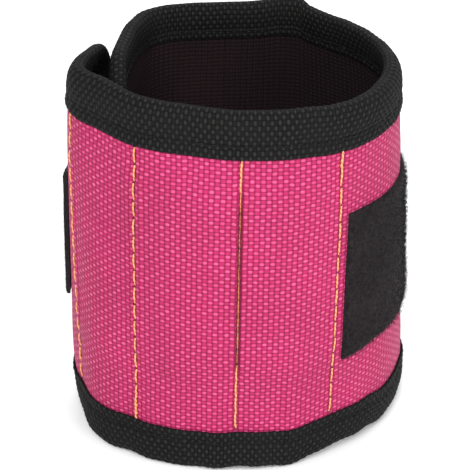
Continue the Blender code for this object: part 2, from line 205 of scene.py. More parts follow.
def smooth_curve(points, at, count):
    """Points of a smooth curve through uneven points, count to each stretch between two of them."""
    points = np.array(points, float)
    slope = np.gradient(points, at, axis=0)
    made = []
    for i in range(len(points) - 1):
        width = at[i + 1] - at[i]
        t = np.linspace(0, 1, count, endpoint=False)[:, None]
        made.append(
            (2 * t**3 - 3 * t**2 + 1) * points[i]
            + (t**3 - 2 * t**2 + t) * width * slope[i]
            + (3 * t**2 - 2 * t**3) * points[i + 1]
            + (t**3 - t**2) * width * slope[i + 1]
        )
    return np.concatenate([*made, points[-1:]])


def run_of(points):
    return np.concatenate([[0], np.cumsum(np.linalg.norm(np.diff(points, axis=0), axis=1))])


def bump(distance, width):
    return np.exp(-((distance / width) ** 2))


def rise(x, start, end):
    """A smooth step from 0 at start to 1 at end."""
    t = np.clip((x - start) / (end - start), 0, 1)
    return t * t * (3 - 2 * t)


POINTS_TO_A_STRETCH = 40
TOP, BOTTOM, SWELL, LOW, HIGH, SIDE = slice(0, 2), slice(2, 4), 4, 5, 6, slice(7, 9)


def strap_lines():
    """Run along the strap, and the columns TOP to SIDE at each point of it."""
    knots = np.array([[*top, *bottom, *rest] for _, top, bottom, *rest in STRAP])
    chord = run_of((knots[:, TOP] + knots[:, BOTTOM]) / 2)
    lines = smooth_curve(knots, chord, POINTS_TO_A_STRETCH)
    middle = (lines[:, TOP] + lines[:, BOTTOM]) / 2
    ahead = np.gradient(middle, axis=0)
    ahead /= np.linalg.norm(ahead, axis=1)[:, None]
    return run_of(middle), np.column_stack([lines, ahead[:, 1], -ahead[:, 0]])


RUN, LINES = strap_lines()
LENGTH = RUN[-1]
PLACE = {knot[0]: RUN[i * POINTS_TO_A_STRETCH] for i, knot in enumerate(STRAP) if knot[0]}
ENDS = [0.0, *(PLACE[crease] for crease in CREASES), LENGTH]
CUTS = [0.0, *((a + b) / 2 for a, b in zip(ENDS[1:-2], ENDS[2:-1])), LENGTH]


def line_at(s, column):
    """A column of the strap's lines at s, carried on straight past the ends if it is a place."""
    inside = np.clip(s, 0, LENGTH)
    if isinstance(column, int):
        return np.interp(inside, RUN, LINES[:, column])
    found = []
    for k in range(column.start, column.stop):
        value = np.interp(inside, RUN, LINES[:, k])
        if column in (TOP, BOTTOM):
            first, last = ((LINES[b, k] - LINES[a, k]) / (RUN[b] - RUN[a]) for a, b in ((0, 1), (-2, -1)))
            value = value + np.where(s < 0, first, last) * (s - inside)
        found.append(value)
    return np.stack(found, axis=-1)


def plan(s, z):
    """The cover's outer face from above at s and z."""
    s, z = np.broadcast_arrays(np.asarray(s, float), np.asarray(z, float))
    share = np.clip(z / HEIGHT, 0, 1)[..., None]
    swell = line_at(s, SWELL)[..., None] * (1 - np.abs(2 * share - 1) ** 7)
    return line_at(s, TOP) * share + line_at(s, BOTTOM) * (1 - share) + line_at(s, SIDE) * swell


def outward(s, z):
    forward = plan(np.asarray(s) + 0.3, z) - plan(np.asarray(s) - 0.3, z)
    forward /= np.linalg.norm(forward, axis=-1, keepdims=True)
    return np.stack([forward[..., 1], -forward[..., 0]], axis=-1)


def ripple(s, z, wave, seed):
    """Gentle unevenness from -1 to 1, made of a few crossing waves about that long in millimetres."""
    draws = np.random.default_rng(seed)
    total = 0.0
    for _ in range(7):
        turn, shift, stretch = (draws.uniform(*span) for span in ((0, math.tau), (0, math.tau), (0.7, 1.5)))
        along = s * math.cos(turn) + z * math.sin(turn)
        total = total + np.sin(along * math.tau / (wave * stretch) + shift)
    return total / 7


def edge_lift(s, z):
    """How far the wavy edges are off level: the lower one rises from the table, the upper one has a step."""
    low = line_at(s, LOW) + 0.7 * ripple(s, 0 * s, 9, 5)
    step = rise(s - PLACE["back_crease"], -0.9, 0.9) * bump(s - PLACE["back_crease"] - 1, 9)
    high = line_at(s, HIGH) + 0.2 * ripple(s, 0 * s, 8, 8) + 0.8 * step
    share = np.clip(z / HEIGHT, 0, 1)
    return np.maximum(low, 0.02) * (1 - share) ** 4 + high * share**4


def drape(s, z):
    """Unevenness that all the layers share."""
    seams = sum(bump(s - PLACE[seam], 2.4) for seam in ("seam_1", "seam_2", "seam_4"))
    return 0.16 * ripple(s, z, 21, 1) + 0.1 * ripple(s, z, 9, 2) - 0.18 * seams


def wall(s, z, depth=0.0):
    """Points of the strap in millimetres."""
    s, z, depth = np.broadcast_arrays(*(np.asarray(value, float) for value in (s, z, depth)))
    place = plan(s, z) + outward(s, z) * (depth + drape(s, z))[..., None]
    return np.concatenate([place, (z + edge_lift(s, z))[..., None]], axis=-1)


def node_points(name):
    return np.array([vert.co for vert in FRAME["nodes"][name].data.vertices]) / MM


JOINTS = {joint["name"]: joint for joint in FRAME["joints"]}


def hinge(crease, z=0.0):
    """A point on the joint's axis at about that height, and the axis upwards."""
    joint = JOINTS["tab_peel" if crease == "edge_a" else f"fold_{crease}"]
    axis = Vector(joint["axis"]).normalized()
    axis = axis if axis.z > 0 else -axis
    place = Vector(joint["pos_m"]) / MM
    return place + axis * (z - place.z) / axis.z, axis


def chord_frame(first, last):
    """The middle of a pocket's chord, its direction and its outward side, from above."""
    along = (last - first) / np.linalg.norm(last - first)
    return (first + last) / 2, along, np.array([along[1], -along[0]])


def pocket_facts(number):
    """Where a pocket's magnet tray lies, and the move from its packed place to the draped pocket's chord."""
    seams = [f"seam_{n}" for n in (number, number + 1)]
    packed, along, out = chord_frame(*(np.array(hinge(seam)[0])[:2] for seam in seams))
    tray = node_points(f"magnet_tray_{number}")
    depths = (tray[:, :2] - packed) @ out
    place, new_along, new_out = chord_frame(*(plan(PLACE[seam], HEIGHT / 2) for seam in seams))
    turn = math.atan2(new_along[1], new_along[0]) - math.atan2(along[1], along[0])
    seat = place - new_out * TRAY_SUNK
    there, back = (Matrix.Translation((*(point * MM), 0)) for point in (seat, -packed))
    return {
        "number": number,
        "out": new_out,
        "face": seat @ new_out + depths.max(),
        "back": seat @ new_out + depths.min(),
        "low": tray[:, 2].min(),
        "high": tray[:, 2].max(),
        "move": there @ Matrix.Rotation(turn, 4, "Z") @ back,
    }


POCKETS = [pocket_facts(number) for number in (1, 2, 3)]


def over_tray(pocket, s, z):
    """How fully the cloth stands on a pocket's tray, from 0 to 1: it leaves it in a V at each seam."""
    start, end = PLACE[f"seam_{pocket['number']}"], PLACE[f"seam_{pocket['number'] + 1}"]
    first = s < (start + end) / 2
    from_seam = np.where(first, s - start, end - s)
    beyond = np.maximum(pocket["low"] - TRAY_END_ROOM - z, z - pocket["high"] - TRAY_END_ROOM)
    margin = np.where(first, SHOULDER[pocket["number"]], SHOULDER[pocket["number"] + 1])
    fan = SHOULDER_FAN * rise(beyond, 0, FAN_LENGTH)
    across = np.sin(np.clip(from_seam / (margin + fan), 0, 1) * math.pi / 2)
    return across * (1 - 0.7 * rise(beyond, 0, 9)), from_seam, 1 - rise(beyond, -2, 8)


def facing(pocket, s, z):
    """How squarely the wall faces the same way as a pocket's tray."""
    return np.maximum(outward(s, z) @ pocket["out"], 0.5)


def seam_depth(number, held):
    return SEAM_DEPTH_AT_ENDS[number] + (SEAM_DEPTH[number] - SEAM_DEPTH_AT_ENDS[number]) * held


def cover_depth(s, z):
    """The cover's outer face: swollen over the trays, drawn in at the seams, flat under the binding."""
    s, z = np.broadcast_arrays(np.asarray(s, float), np.asarray(z, float))
    total = np.zeros(s.shape)
    ends = rise(z, 6, 13) * rise(HEIGHT - z, 6, 13)
    for pocket in POCKETS:
        number = pocket["number"]
        share, from_seam, held = over_tray(pocket, s, z)
        clear = pocket["face"] + TRAY_ROOM + COVER_THICK - plan(s, z) @ pocket["out"]
        plateau = np.maximum(clear / facing(pocket, s, z) - drape(s, z), LEAST_RISE)
        plateau = plateau + PUFF * rise(from_seam, 1, 9)
        first = s < (PLACE[f"seam_{number}"] + PLACE[f"seam_{number + 1}"]) / 2
        seam = np.where(first, seam_depth(number, held), seam_depth(number + 1, held))
        total = np.where(from_seam >= 0, (seam + (plateau - seam) * share) * ends, total)
    for number, side in ((1, -1), (4, 1)):
        beyond = (s - PLACE[f"seam_{number}"]) * side
        _, _, held = over_tray(POCKETS[0], s, z)
        total = np.where(beyond > 0, seam_depth(number, held) * bump(beyond, 3.0) * ends, total)
    puckers = sum(bump(s - PLACE[f"seam_{number}"], 1.6) for number in (1, 2, 4))
    return total + 0.07 * puckers * np.cos((z - SEAM_HIGH) / SEAM_PITCH * math.tau) * ends


def lining_depth(s, z):
    """The lining's outer face: pressed inwards behind the trays."""
    s, z = np.broadcast_arrays(np.asarray(s, float), np.asarray(z, float))
    total = np.full(s.shape, LINING_FACE)
    for pocket in POCKETS:
        share, from_seam, _ = over_tray(pocket, s, z)
        clear = pocket["back"] - TRAY_ROOM - plan(s, z) @ pocket["out"]
        behind = np.minimum(clear / facing(pocket, s, z) - drape(s, z), LINING_FACE)
        held = rise(z, 8, 20) * rise(HEIGHT - z, 8, 18) * np.minimum(share * 1.2, 1)
        total = np.where(from_seam >= 0, LINING_FACE + (behind - LINING_FACE) * held, total)
    return np.minimum(total, cover_depth(s, z) - COVER_THICK - LAYER_GAP)


# ---------------------------------------------------------------- meshes


def quads(*corners):
    return np.stack([corner.ravel() for corner in corners], axis=1)


def grid_faces(columns, rows):
    """The numbers of a grid's points, and its faces."""
    index = np.arange(columns * rows).reshape(columns, rows)
    return index, quads(index[:-1, :-1], index[1:, :-1], index[1:, 1:], index[:-1, 1:])


def cloth_mesh(name, front, back, uv):
    """A closed sheet between two grids of points in millimetres, with uv in metres for every grid point."""
    index, face = grid_faces(*front.shape[:2])
    edge = np.concatenate([index[:-1, 0], index[-1, :-1], index[:0:-1, -1], index[0, :0:-1]])
    ahead = np.roll(edge, -1)
    rim = quads(ahead, edge, edge + index.size, ahead + index.size)
    faces = np.concatenate([face, face[:, ::-1] + index.size, rim])
    points = np.concatenate([front.reshape(-1, 3), back.reshape(-1, 3)]) * MM
    a, b, c, d = (points[faces[:, k]] for k in range(4))
    volume = (a * np.cross(b, c)).sum() + (a * np.cross(c, d)).sum()
    if volume < 0:
        faces = faces[:, ::-1]
    mesh = bpy.data.meshes.new(name)
    mesh.vertices.add(len(points))
    mesh.vertices.foreach_set("co", points.astype(np.float32).ravel())
    mesh.loops.add(faces.size)
    mesh.loops.foreach_set("vertex_index", faces.astype(np.int32).ravel())
    mesh.polygons.add(len(faces))
    mesh.polygons.foreach_set("loop_start", np.arange(0, faces.size, 4, dtype=np.int32))
    mesh.update(calc_edges=True)
    mesh.validate()
    mesh.shade_smooth()
    mesh.set_sharp_from_angle(angle=SHARP_ANGLE)
    both = np.concatenate([uv.reshape(-1, 2), uv.reshape(-1, 2)])
    corners = np.empty(len(mesh.loops), np.int32)
    mesh.loops.foreach_get("vertex_index", corners)
    layer = mesh.uv_layers.new(name=CLOTH_UV)
    layer.uv.foreach_set("vector", both[corners].astype(np.float32).ravel())
    return mesh


def add_piece(name, mesh, material, slot):
    piece = bpy.data.objects.new(name, mesh)
    bpy.context.scene.collection.objects.link(piece)
    piece.data.materials.clear()
    piece.data.materials.append(material)
    return piece


def blend_at(piece, crease):
    """Works out the stretch across one crease where the piece would bend, and bakes the piece's transform into
    its mesh; the piece is not bent.
    """
    index = CREASES.index(crease)
    reach = BLEND_REACH[crease.split("_")[0]]
    place, axis = hinge(crease, HEIGHT / 2)
    s = PLACE[crease]
    ahead = Vector((*(plan(s + 2, HEIGHT / 2) - plan(s - 2, HEIGHT / 2)), 0))
    ahead = (ahead - axis * ahead.dot(axis)).normalized()
    start, end = (place - ahead * reach) * MM, (place + ahead * reach) * MM
    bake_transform(piece)
    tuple(start)
    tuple(end)


def spaced(low, high, step):
    return np.linspace(low, high, max(2, round((high - low) / step) + 1))


def end_inset(s):
    """How far the layers' edge is from the strap's edge, which the round corners of the two ends raise."""
    radius = CORNER_RADIUS - EDGE_INSET
    from_end = np.minimum(np.asarray(s), LENGTH - np.asarray(s)) - EDGE_INSET
    over = np.clip(radius - from_end, 0, radius)
    return EDGE_INSET + radius - np.sqrt(np.maximum(radius**2 - over**2, 0))


def layer_grid(crease, low, high, step, row_step, fine=None):
    """A grid over one stretch of a layer, with finer columns next to its crease where that is asked for."""
    low, high = max(low, EDGE_INSET), min(high, LENGTH - EDGE_INSET)
    columns = spaced(low, high, step)
    if fine:
        near = PLACE[crease] + np.array([-FINE_REACH, 0, FINE_REACH])
        edges = (low, *near, high)
        parts = zip(edges[:-1], edges[1:], (step, fine, fine, step))
        columns = np.concatenate([spaced(a, b, c)[:-1] for a, b, c in parts] + [[high]])
    rows = spaced(0, 1, row_step / HEIGHT)
    inset = end_inset(columns)[:, None]
    z = inset + rows[None, :] * (HEIGHT - 2 * inset)
    return np.broadcast_to(columns[:, None], z.shape), z


def cloth_uv(s, z):
    return np.stack([s, z], axis=-1) * MM


# ---------------------------------------------------------------- materials


GROUPS = {}


class Shading:
    """Short ways to add nodes to a shader tree."""

    def __init__(self, tree):
        self.tree = tree

    def node(self, kind, **settings):
        made = self.tree.nodes.new(kind)
        for key, value in settings.items():
            setattr(made, key, value)
        return made

    def put(self, socket, value):
        if isinstance(value, bpy.types.NodeSocket):
            self.tree.links.new(value, socket)
        elif value is not None:
            socket.default_value = value

    def math(self, operation, a, b=None):
        made = self.node("ShaderNodeMath", operation=operation)
        for socket, value in zip(made.inputs, (a, b)):
            self.put(socket, value)
        return made.outputs[0]

    def times(self, a, b):
        return self.math("MULTIPLY", a, b)

    def apart(self, vector):
        """A vector's three parts."""
        made = self.node("ShaderNodeSeparateXYZ")
        self.put(made.inputs[0], vector)
        return made.outputs

    def scaled(self, vector, across, up, third=1.0):
        made = self.node("ShaderNodeVectorMath", operation="MULTIPLY")
        self.put(made.inputs[0], vector)
        made.inputs[1].default_value = (across, up, third)
        return made.outputs[0]

    def noise(self, vector, scale, detail=3.0, roughness=0.55):
        made = self.node("ShaderNodeTexNoise")
        self.put(made.inputs["Vector"], vector)
        made.inputs["Scale"].default_value = scale
        made.inputs["Detail"].default_value = detail
        made.inputs["Roughness"].default_value = roughness
        return made.outputs["Fac"]

    def ramp(self, value, low, high, to_low=0.0, to_high=1.0):
        made = self.node("ShaderNodeMapRange", interpolation_type="SMOOTHSTEP")
        for socket, number in zip(made.inputs, (value, low, high, to_low, to_high)):
            self.put(socket, number)
        return made.outputs[0]

    def mix(self, share, a, b, kind="MIX"):
        made = self.node("ShaderNodeMix", data_type="RGBA", blend_type=kind)
        for socket, value in zip((made.inputs[0], made.inputs[6], made.inputs[7]), (share, a, b)):
            self.put(socket, value)
        return made.outputs[2]

    def bump(self, height, distance, strength=1.0, normal=None):
        made = self.node("ShaderNodeBump")
        made.inputs["Strength"].default_value = strength
        made.inputs["Distance"].default_value = distance
        self.put(made.inputs["Height"], height)
        self.put(made.inputs["Normal"], normal)
        return made.outputs[0]

    def group(self, kind, place, **values):
        """The outputs of one of the shared groups."""
        if kind not in GROUPS:
            GROUPS[kind] = {"weave": weave_group, "wear": wear_group, "needle": needle_group}[kind]()
        made = self.node("ShaderNodeGroup", node_tree=GROUPS[kind])
        for key, value in {"Place": place, **values}.items():
            self.put(made.inputs[key.replace("_", " ")], value)
        return made.outputs


def start_group(name, **inputs):
    """An empty shader group of numbers, whose first input is a place."""
    tree = bpy.data.node_groups.new(name, "ShaderNodeTree")
    tree.interface.new_socket("Place", in_out="INPUT", socket_type="NodeSocketVector")
    for label, default in inputs.items():
        socket = tree.interface.new_socket(label, in_out="INPUT", socket_type="NodeSocketFloat")
        socket.default_value = default
    shading = Shading(tree)
    return shading, shading.node("NodeGroupInput").outputs


def end_group(shading, **results):
    for label in results:
        shading.tree.interface.new_socket(label, in_out="OUTPUT", socket_type="NodeSocketFloat")
    sockets = shading.node("NodeGroupOutput").inputs
    for label, value in results.items():
        shading.put(sockets[label], value)
    return shading.tree


def weave_group():
    """Plain weave of flat threads: crosswise floats stand out as lozenges between the upright ones."""
    shading, given = start_group("Plain weave", Across=0.0011, Up=0.00084, Waver=0.12)
    math_of, times, place = shading.math, shading.times, given["Place"]

    def cells(part, size, drift_place, drift_scale):
        """The number of the thread that a place is on, and how far from its middle the place is, squared."""
        drift = math_of("SUBTRACT", shading.noise(drift_place, drift_scale, 2), 0.5)
        waver = times(times(drift, given["Waver"]), 4.0)
        count = math_of("ADD", math_of("DIVIDE", part, size), waver)
        off = times(math_of("SUBTRACT", math_of("FRACT", count), 0.5), 2.0)
        return math_of("FLOOR", count), times(off, off)

    def crown(along_2, over_2):
        """A thread's height: round over its width, and sinking at the ends of its float."""
        round_over = math_of("SQRT", math_of("MAXIMUM", math_of("SUBTRACT", 1.0, over_2), 0.0))
        return times(math_of("SUBTRACT", 1.0, times(along_2, 0.62)), round_over)

    def by_turns(weft, warp):
        return math_of("ADD", times(weft, even), times(warp, odd))

    x, y, _ = shading.apart(place)
    column, across_2 = cells(x, given["Across"], place, 260)
    row, up_2 = cells(y, given["Up"], shading.scaled(place, -1, 1.3), 230)
    odd = math_of("FLOORED_MODULO", math_of("ADD", column, row), 2.0)
    even = math_of("SUBTRACT", 1.0, odd)
    weft, warp = crown(across_2, up_2), times(crown(up_2, across_2), 0.8)
    height = by_turns(weft, warp)
    cell = shading.node("ShaderNodeCombineXYZ")
    shading.put(cell.inputs[0], column)
    shading.put(cell.inputs[1], row)
    chance = shading.node("ShaderNodeTexWhiteNoise", noise_dimensions="2D")
    shading.put(chance.inputs["Vector"], cell.outputs[0])
    fibres = [shading.noise(shading.scaled(place, *scales), 1.0, 2) for scales in ((900, 9000), (9000, 900))]
    return end_group(
        shading,
        Height=height,
        Lozenge=times(shading.ramp(weft, 0.5, 0.86), even),
        Gap=shading.ramp(height, 0.42, 0.12),
        Thread=chance.outputs["Value"],
        Strands=by_turns(*fibres),
    )


def wear_group():
    """Uneven dye and handling: broad clouds, and fine specks of lint."""
    shading, given = start_group("Handled cloth", **{"Cloud size": 70.0})
    place = given["Place"]
    cloud = shading.node("ShaderNodeTexNoise")
    shading.put(cloud.inputs["Vector"], place)
    shading.put(cloud.inputs["Scale"], given["Cloud size"])
    cloud.inputs["Detail"].default_value = 4.0
    lint = shading.ramp(shading.noise(place, 2600, 2), 0.66, 0.8)
    return end_group(shading, Cloud=cloud.outputs["Fac"], Lint=lint, Grain=shading.noise(place, 5200, 3, 0.7))


def needle_group():
    """A line of needle holes up the cloth: masks of a dot at each stitch end and of a faint line along the
    seam, both of which the cover paints dark as painted shade.
    """
    shading, given = start_group("Needle holes", Seam=0.0, Pitch=0.004, First=0.0)
    math_of = shading.math
    x, y, _ = shading.apart(given["Place"])
    aside = math_of("ABSOLUTE", math_of("SUBTRACT", x, given["Seam"]))
    turn = math_of("DIVIDE", math_of("SUBTRACT", y, given["First"]), given["Pitch"])
    off = math_of("SUBTRACT", math_of("FRACT", math_of("ADD", turn, 0.5)), 0.5)
    off = shading.times(math_of("ABSOLUTE", off), given["Pitch"])
    from_hole = math_of("SQRT", math_of("ADD", math_of("POWER", aside, 2.0), math_of("POWER", off, 2.0)))
    holes, drawn = shading.ramp(from_hole, 0.00042, 0.00014), shading.ramp(aside, 0.0008, 0.00015)
    return end_group(shading, Holes=holes, Drawn=drawn)


def grey(value):
    return (value, value, value, 1.0)


def tinted(colour, factor):
    return (*(min(1.0, channel * factor) for channel in colour[:3]), 1.0)


class Finish(Shading):
    """A material: a base colour, the coats over it and the shader's uniform values."""

    def __init__(self, name, cloud_size=None, woven=False, **fixed):
        self.material = bpy.data.materials.new(name)
        self.material.use_nodes = True
        super().__init__(self.material.node_tree)
        self.shader = self.tree.nodes["Principled BSDF"].inputs
        for key, value in fixed.items():
            self.shader[key.replace("_", " ")].default_value = value
        if woven:
            self.place = self.node("ShaderNodeUVMap", uv_map=CLOTH_UV).outputs[0]
        else:
            self.place = self.node("ShaderNodeTexCoord").outputs["Object"]
        if cloud_size:
            wear = self.group("wear", self.place, Cloud_size=cloud_size)
            self.cloud, self.lint, self.grain = (wear[label] for label in ("Cloud", "Lint", "Grain"))

    def base(self, share, low, high):
        self.colour = self.mix(share, low, high)

    def coat(self, share, colour):
        self.colour = self.mix(share, self.colour, colour)

    def done(self, roughness, normal):
        for label, value in (("Base Color", self.colour), ("Roughness", roughness), ("Normal", normal)):
            self.put(self.shader[label], value)
        return self.material


def cover_material(settings, cloth):
    """Pink nylon: crosswise floats on uprights, with needle holes along the four seams. Painted shade darkens
    the weave's low places, its gaps, the holes and a line along each seam; a painted highlight brightens the
    raised floats.
    """
    sheen = {"Sheen_Weight": 0.07, "Sheen_Roughness": 0.35, "Sheen_Tint": (1.0, 0.5, 0.75, 1.0)}
    nylon = Finish("Pink nylon", 60.0, woven=True, Specular_IOR_Level=0.2, **sheen)
    weave = nylon.group("weave", nylon.place, Across=cloth.weave_across, Up=cloth.weave_up)
    pink = tuple(settings.pink)
    # Painted shade: the weave's low places are darker than its raised threads.
    nylon.base(nylon.ramp(weave["Height"], 0.1, 0.75), tinted(pink, 0.46), tinted(pink, 1.0))
    # Painted highlight: a whitish glint on the raised floats, brighter on some floats than on others.
    lozenge = nylon.times(weave["Lozenge"], nylon.ramp(weave["Thread"], 0.0, 1.0, 0.5, 1.0))
    nylon.coat(nylon.times(lozenge, 0.62), tuple(settings.pink_highlight))
    # Painted shade in the gaps between the threads.
    nylon.coat(nylon.times(weave["Gap"], 0.45), tinted(pink, 0.3))
    strands = nylon.ramp(weave["Strands"], 0.3, 0.7, 0.86, 1.1)
    clouds = nylon.ramp(nylon.cloud, 0.3, 0.7, 0.93, 1.05)
    shade = nylon.node("ShaderNodeCombineColor")
    for socket in shade.inputs:
        nylon.put(socket, nylon.times(strands, clouds))
    nylon.colour = nylon.mix(1.0, nylon.colour, shade.outputs[0], "MULTIPLY")
    nylon.coat(nylon.times(nylon.lint, 0.1), (0.9, 0.55, 0.7, 1.0))
    holes = drawn = 0.0
    for number in (1, 2, 3, 4):
        row = {"Seam": PLACE[f"seam_{number}"] * MM, "Pitch": SEAM_PITCH * MM, "First": SEAM_HIGH * MM}
        needle = nylon.group("needle", nylon.place, **row)
        holes = nylon.math("MAXIMUM", holes, needle["Holes"])
        drawn = nylon.math("MAXIMUM", drawn, needle["Drawn"])
    # Painted shade along each seam, where the cloth is drawn into a groove.
    nylon.coat(nylon.times(drawn, 0.35), tinted(pink, 0.35))
    # Painted shade in the needle holes: a dark dot at each stitch end; the holes are also dented in the bump
    # below.
    nylon.coat(nylon.times(holes, 0.9), (0.08, 0.012, 0.02, 1.0))
    relief = nylon.math("SUBTRACT", weave["Height"], nylon.times(holes, 1.5))
    fine = nylon.bump(weave["Strands"], 0.00002, 0.5)
    return nylon.done(nylon.ramp(lozenge, 0.0, 1.0, 0.72, 0.5), nylon.bump(relief, 0.00016, 0.8, fine))


def binding_material(settings):
    """Black tape, woven in fine upright ribs of staggered pips."""
    tape = Finish("Black tape", 110.0, woven=True, Specular_IOR_Level=0.14)
    weave = tape.group("weave", tape.place, Across=0.00078, Up=0.0011, Waver=0.16)
    black = tuple(settings.black)
    # Painted shade: the low places of the weave are darker than its raised pips.
    tape.base(tape.ramp(weave["Height"], 0.05, 0.8), tinted(black, 0.2), black)
    # Painted highlight: bright glints on the raised pips.
    tape.coat(tape.times(weave["Lozenge"], 0.8), tinted(black, 4.6))
    tape.coat(tape.ramp(tape.cloud, 0.35, 0.75, 0.0, 0.35), tinted(black, 1.7))
    tape.coat(tape.times(tape.lint, 0.25), grey(0.09))
    fine = tape.bump(weave["Strands"], 0.00002, 0.6)
    roughness = tape.ramp(weave["Strands"], 0.3, 0.7, 0.7, 0.9)
    return tape.done(roughness, tape.bump(weave["Height"], 0.0002, 0.9, fine))


def lining_material(settings):
    """Dark mesh lining: the small eyes between its cords are not cut open but painted dark as painted shade."""
    net = Finish("Dark mesh lining", 50.0, woven=True, Specular_IOR_Level=0.15)
    weave = net.group("weave", net.place, Across=0.00065, Up=0.0009, Waver=0.2)
    dark = tuple(settings.lining)
    # Painted light and shade: the cords' raised tops are lighter, their low places darker.
    net.base(net.ramp(weave["Height"], 0.1, 0.8), tinted(dark, 0.6), tinted(dark, 1.2))
    # Painted shade in the eyes between the cords.
    net.coat(net.times(weave["Gap"], 0.5), (0.0015, 0.0008, 0.001, 1.0))
    net.coat(net.ramp(net.cloud, 0.4, 0.8, 0.0, 0.3), tinted(dark, 2.2))
    return net.done(net.ramp(net.grain, 0.3, 0.7, 0.8, 0.97), net.bump(weave["Height"], 0.00022, 0.9))


def nap_material(name, colour, roughness):
    """Dark fibre of the hook-and-loop: each strand a little lighter or darker than the next."""
    nap = Finish(name, 90.0, Specular_IOR_Level=0.12, Sheen_Weight=0.04, Sheen_Roughness=0.4)
    tone = nap.noise(nap.place, 1400, 3, 0.6)
    nap.base(nap.ramp(tone, 0.35, 0.7), tinted(colour, 0.55), tinted(colour, 1.6))
    nap.coat(nap.ramp(nap.cloud, 0.4, 0.75, 0.0, 0.4), tinted(colour, 2.0))
    nap.coat(nap.times(nap.lint, 0.35), grey(0.13))
    return nap.done(nap.ramp(nap.grain, 0.3, 0.7, roughness - 0.1, roughness), nap.bump(tone, 0.0003, 0.7))


def thread_material(name, colour, dark, gloss):
    """Sewing thread: two plies wound round each other, with painted shade in the groove between them."""
    thread = Finish(name, Specular_IOR_Level=gloss)
    x, y, z = thread.apart(thread.place)
    slant = thread.math("ADD", z, thread.times(thread.math("ADD", x, y), 0.9))
    ply = thread.math("SINE", thread.times(slant, math.tau / THREAD_TWIST))
    fuzz = thread.noise(thread.place, 4200, 3, 0.7)
    # Painted shade: the groove between the plies gets the darker colour.
    thread.base(thread.ramp(ply, -1.0, -0.2), dark, colour)
    thread.coat(thread.ramp(fuzz, 0.35, 0.7, 0.0, 0.35), tinted(colour, 1.25))
    normal = thread.bump(thread.math("ADD", ply, fuzz), 0.00005, 0.8)
    return thread.done(thread.ramp(fuzz, 0.3, 0.7, 0.45, 0.65), normal)


def tray_material():
    """Moulded grey plastic: faint flow marks and scuffed corners."""
    plastic = Finish("Moulded tray", 120.0, Specular_IOR_Level=0.5)
    flow = plastic.noise(plastic.scaled(plastic.place, 300, 300, 60), 1.0, 3)
    plastic.base(plastic.ramp(flow, 0.35, 0.65), grey(0.045), grey(0.07))
    plastic.coat(plastic.times(plastic.lint, 0.3), grey(0.16))
    roughness = plastic.ramp(plastic.cloud, 0.3, 0.7, 0.4, 0.6)
    return plastic.done(roughness, plastic.bump(plastic.grain, 0.00003, 0.5))


def magnet_material():
    """Nickel-plated block: fine grinding marks and dull spots."""
    plate = Finish("Plated magnet", 200.0, Metallic=1.0)
    grind = plate.noise(plate.scaled(plate.place, 400, 400, 9000), 1.0, 2)
    plate.base(plate.ramp(plate.cloud, 0.35, 0.7), grey(0.52), (0.4, 0.39, 0.37, 1.0))
    return plate.done(plate.ramp(grind, 0.3, 0.7, 0.2, 0.38), plate.bump(grind, 0.00001, 0.4))


# Painted shade in the groove between the yellow thread's two plies.
THREAD_GROOVE_SHADE = (0.45, 0.11, 0.02, 1.0)
MATERIALS = {}


def finish_of(kind):
    """The wristband's materials, each made when it is first needed."""
    settings = bpy.context.scene.wristband_colours
    makers = {
        "cover": lambda: cover_material(settings, bpy.context.scene.wristband_cloth),
        "binding": lambda: binding_material(settings),
        "lining": lambda: lining_material(settings),
        "loop": lambda: nap_material("Brushed loop", tuple(settings.loop), 0.95),
        "hook": lambda: nap_material("Hook tape", tuple(settings.hook), 0.7),
        "seam_thread": lambda: thread_material("Yellow thread", tuple(settings.thread), THREAD_GROOVE_SHADE, 0.4),
        # The black thread's second colour is the painted shade in its ply groove.
        "tape_thread": lambda: thread_material("Black thread", grey(0.006), grey(0.002), 0.12),
        "tray": tray_material,
        "magnet": magnet_material,
    }
    if kind not in MATERIALS:
        MATERIALS[kind] = makers[kind]()
    return MATERIALS[kind]


# ---------------------------------------------------------------- geometry nodes


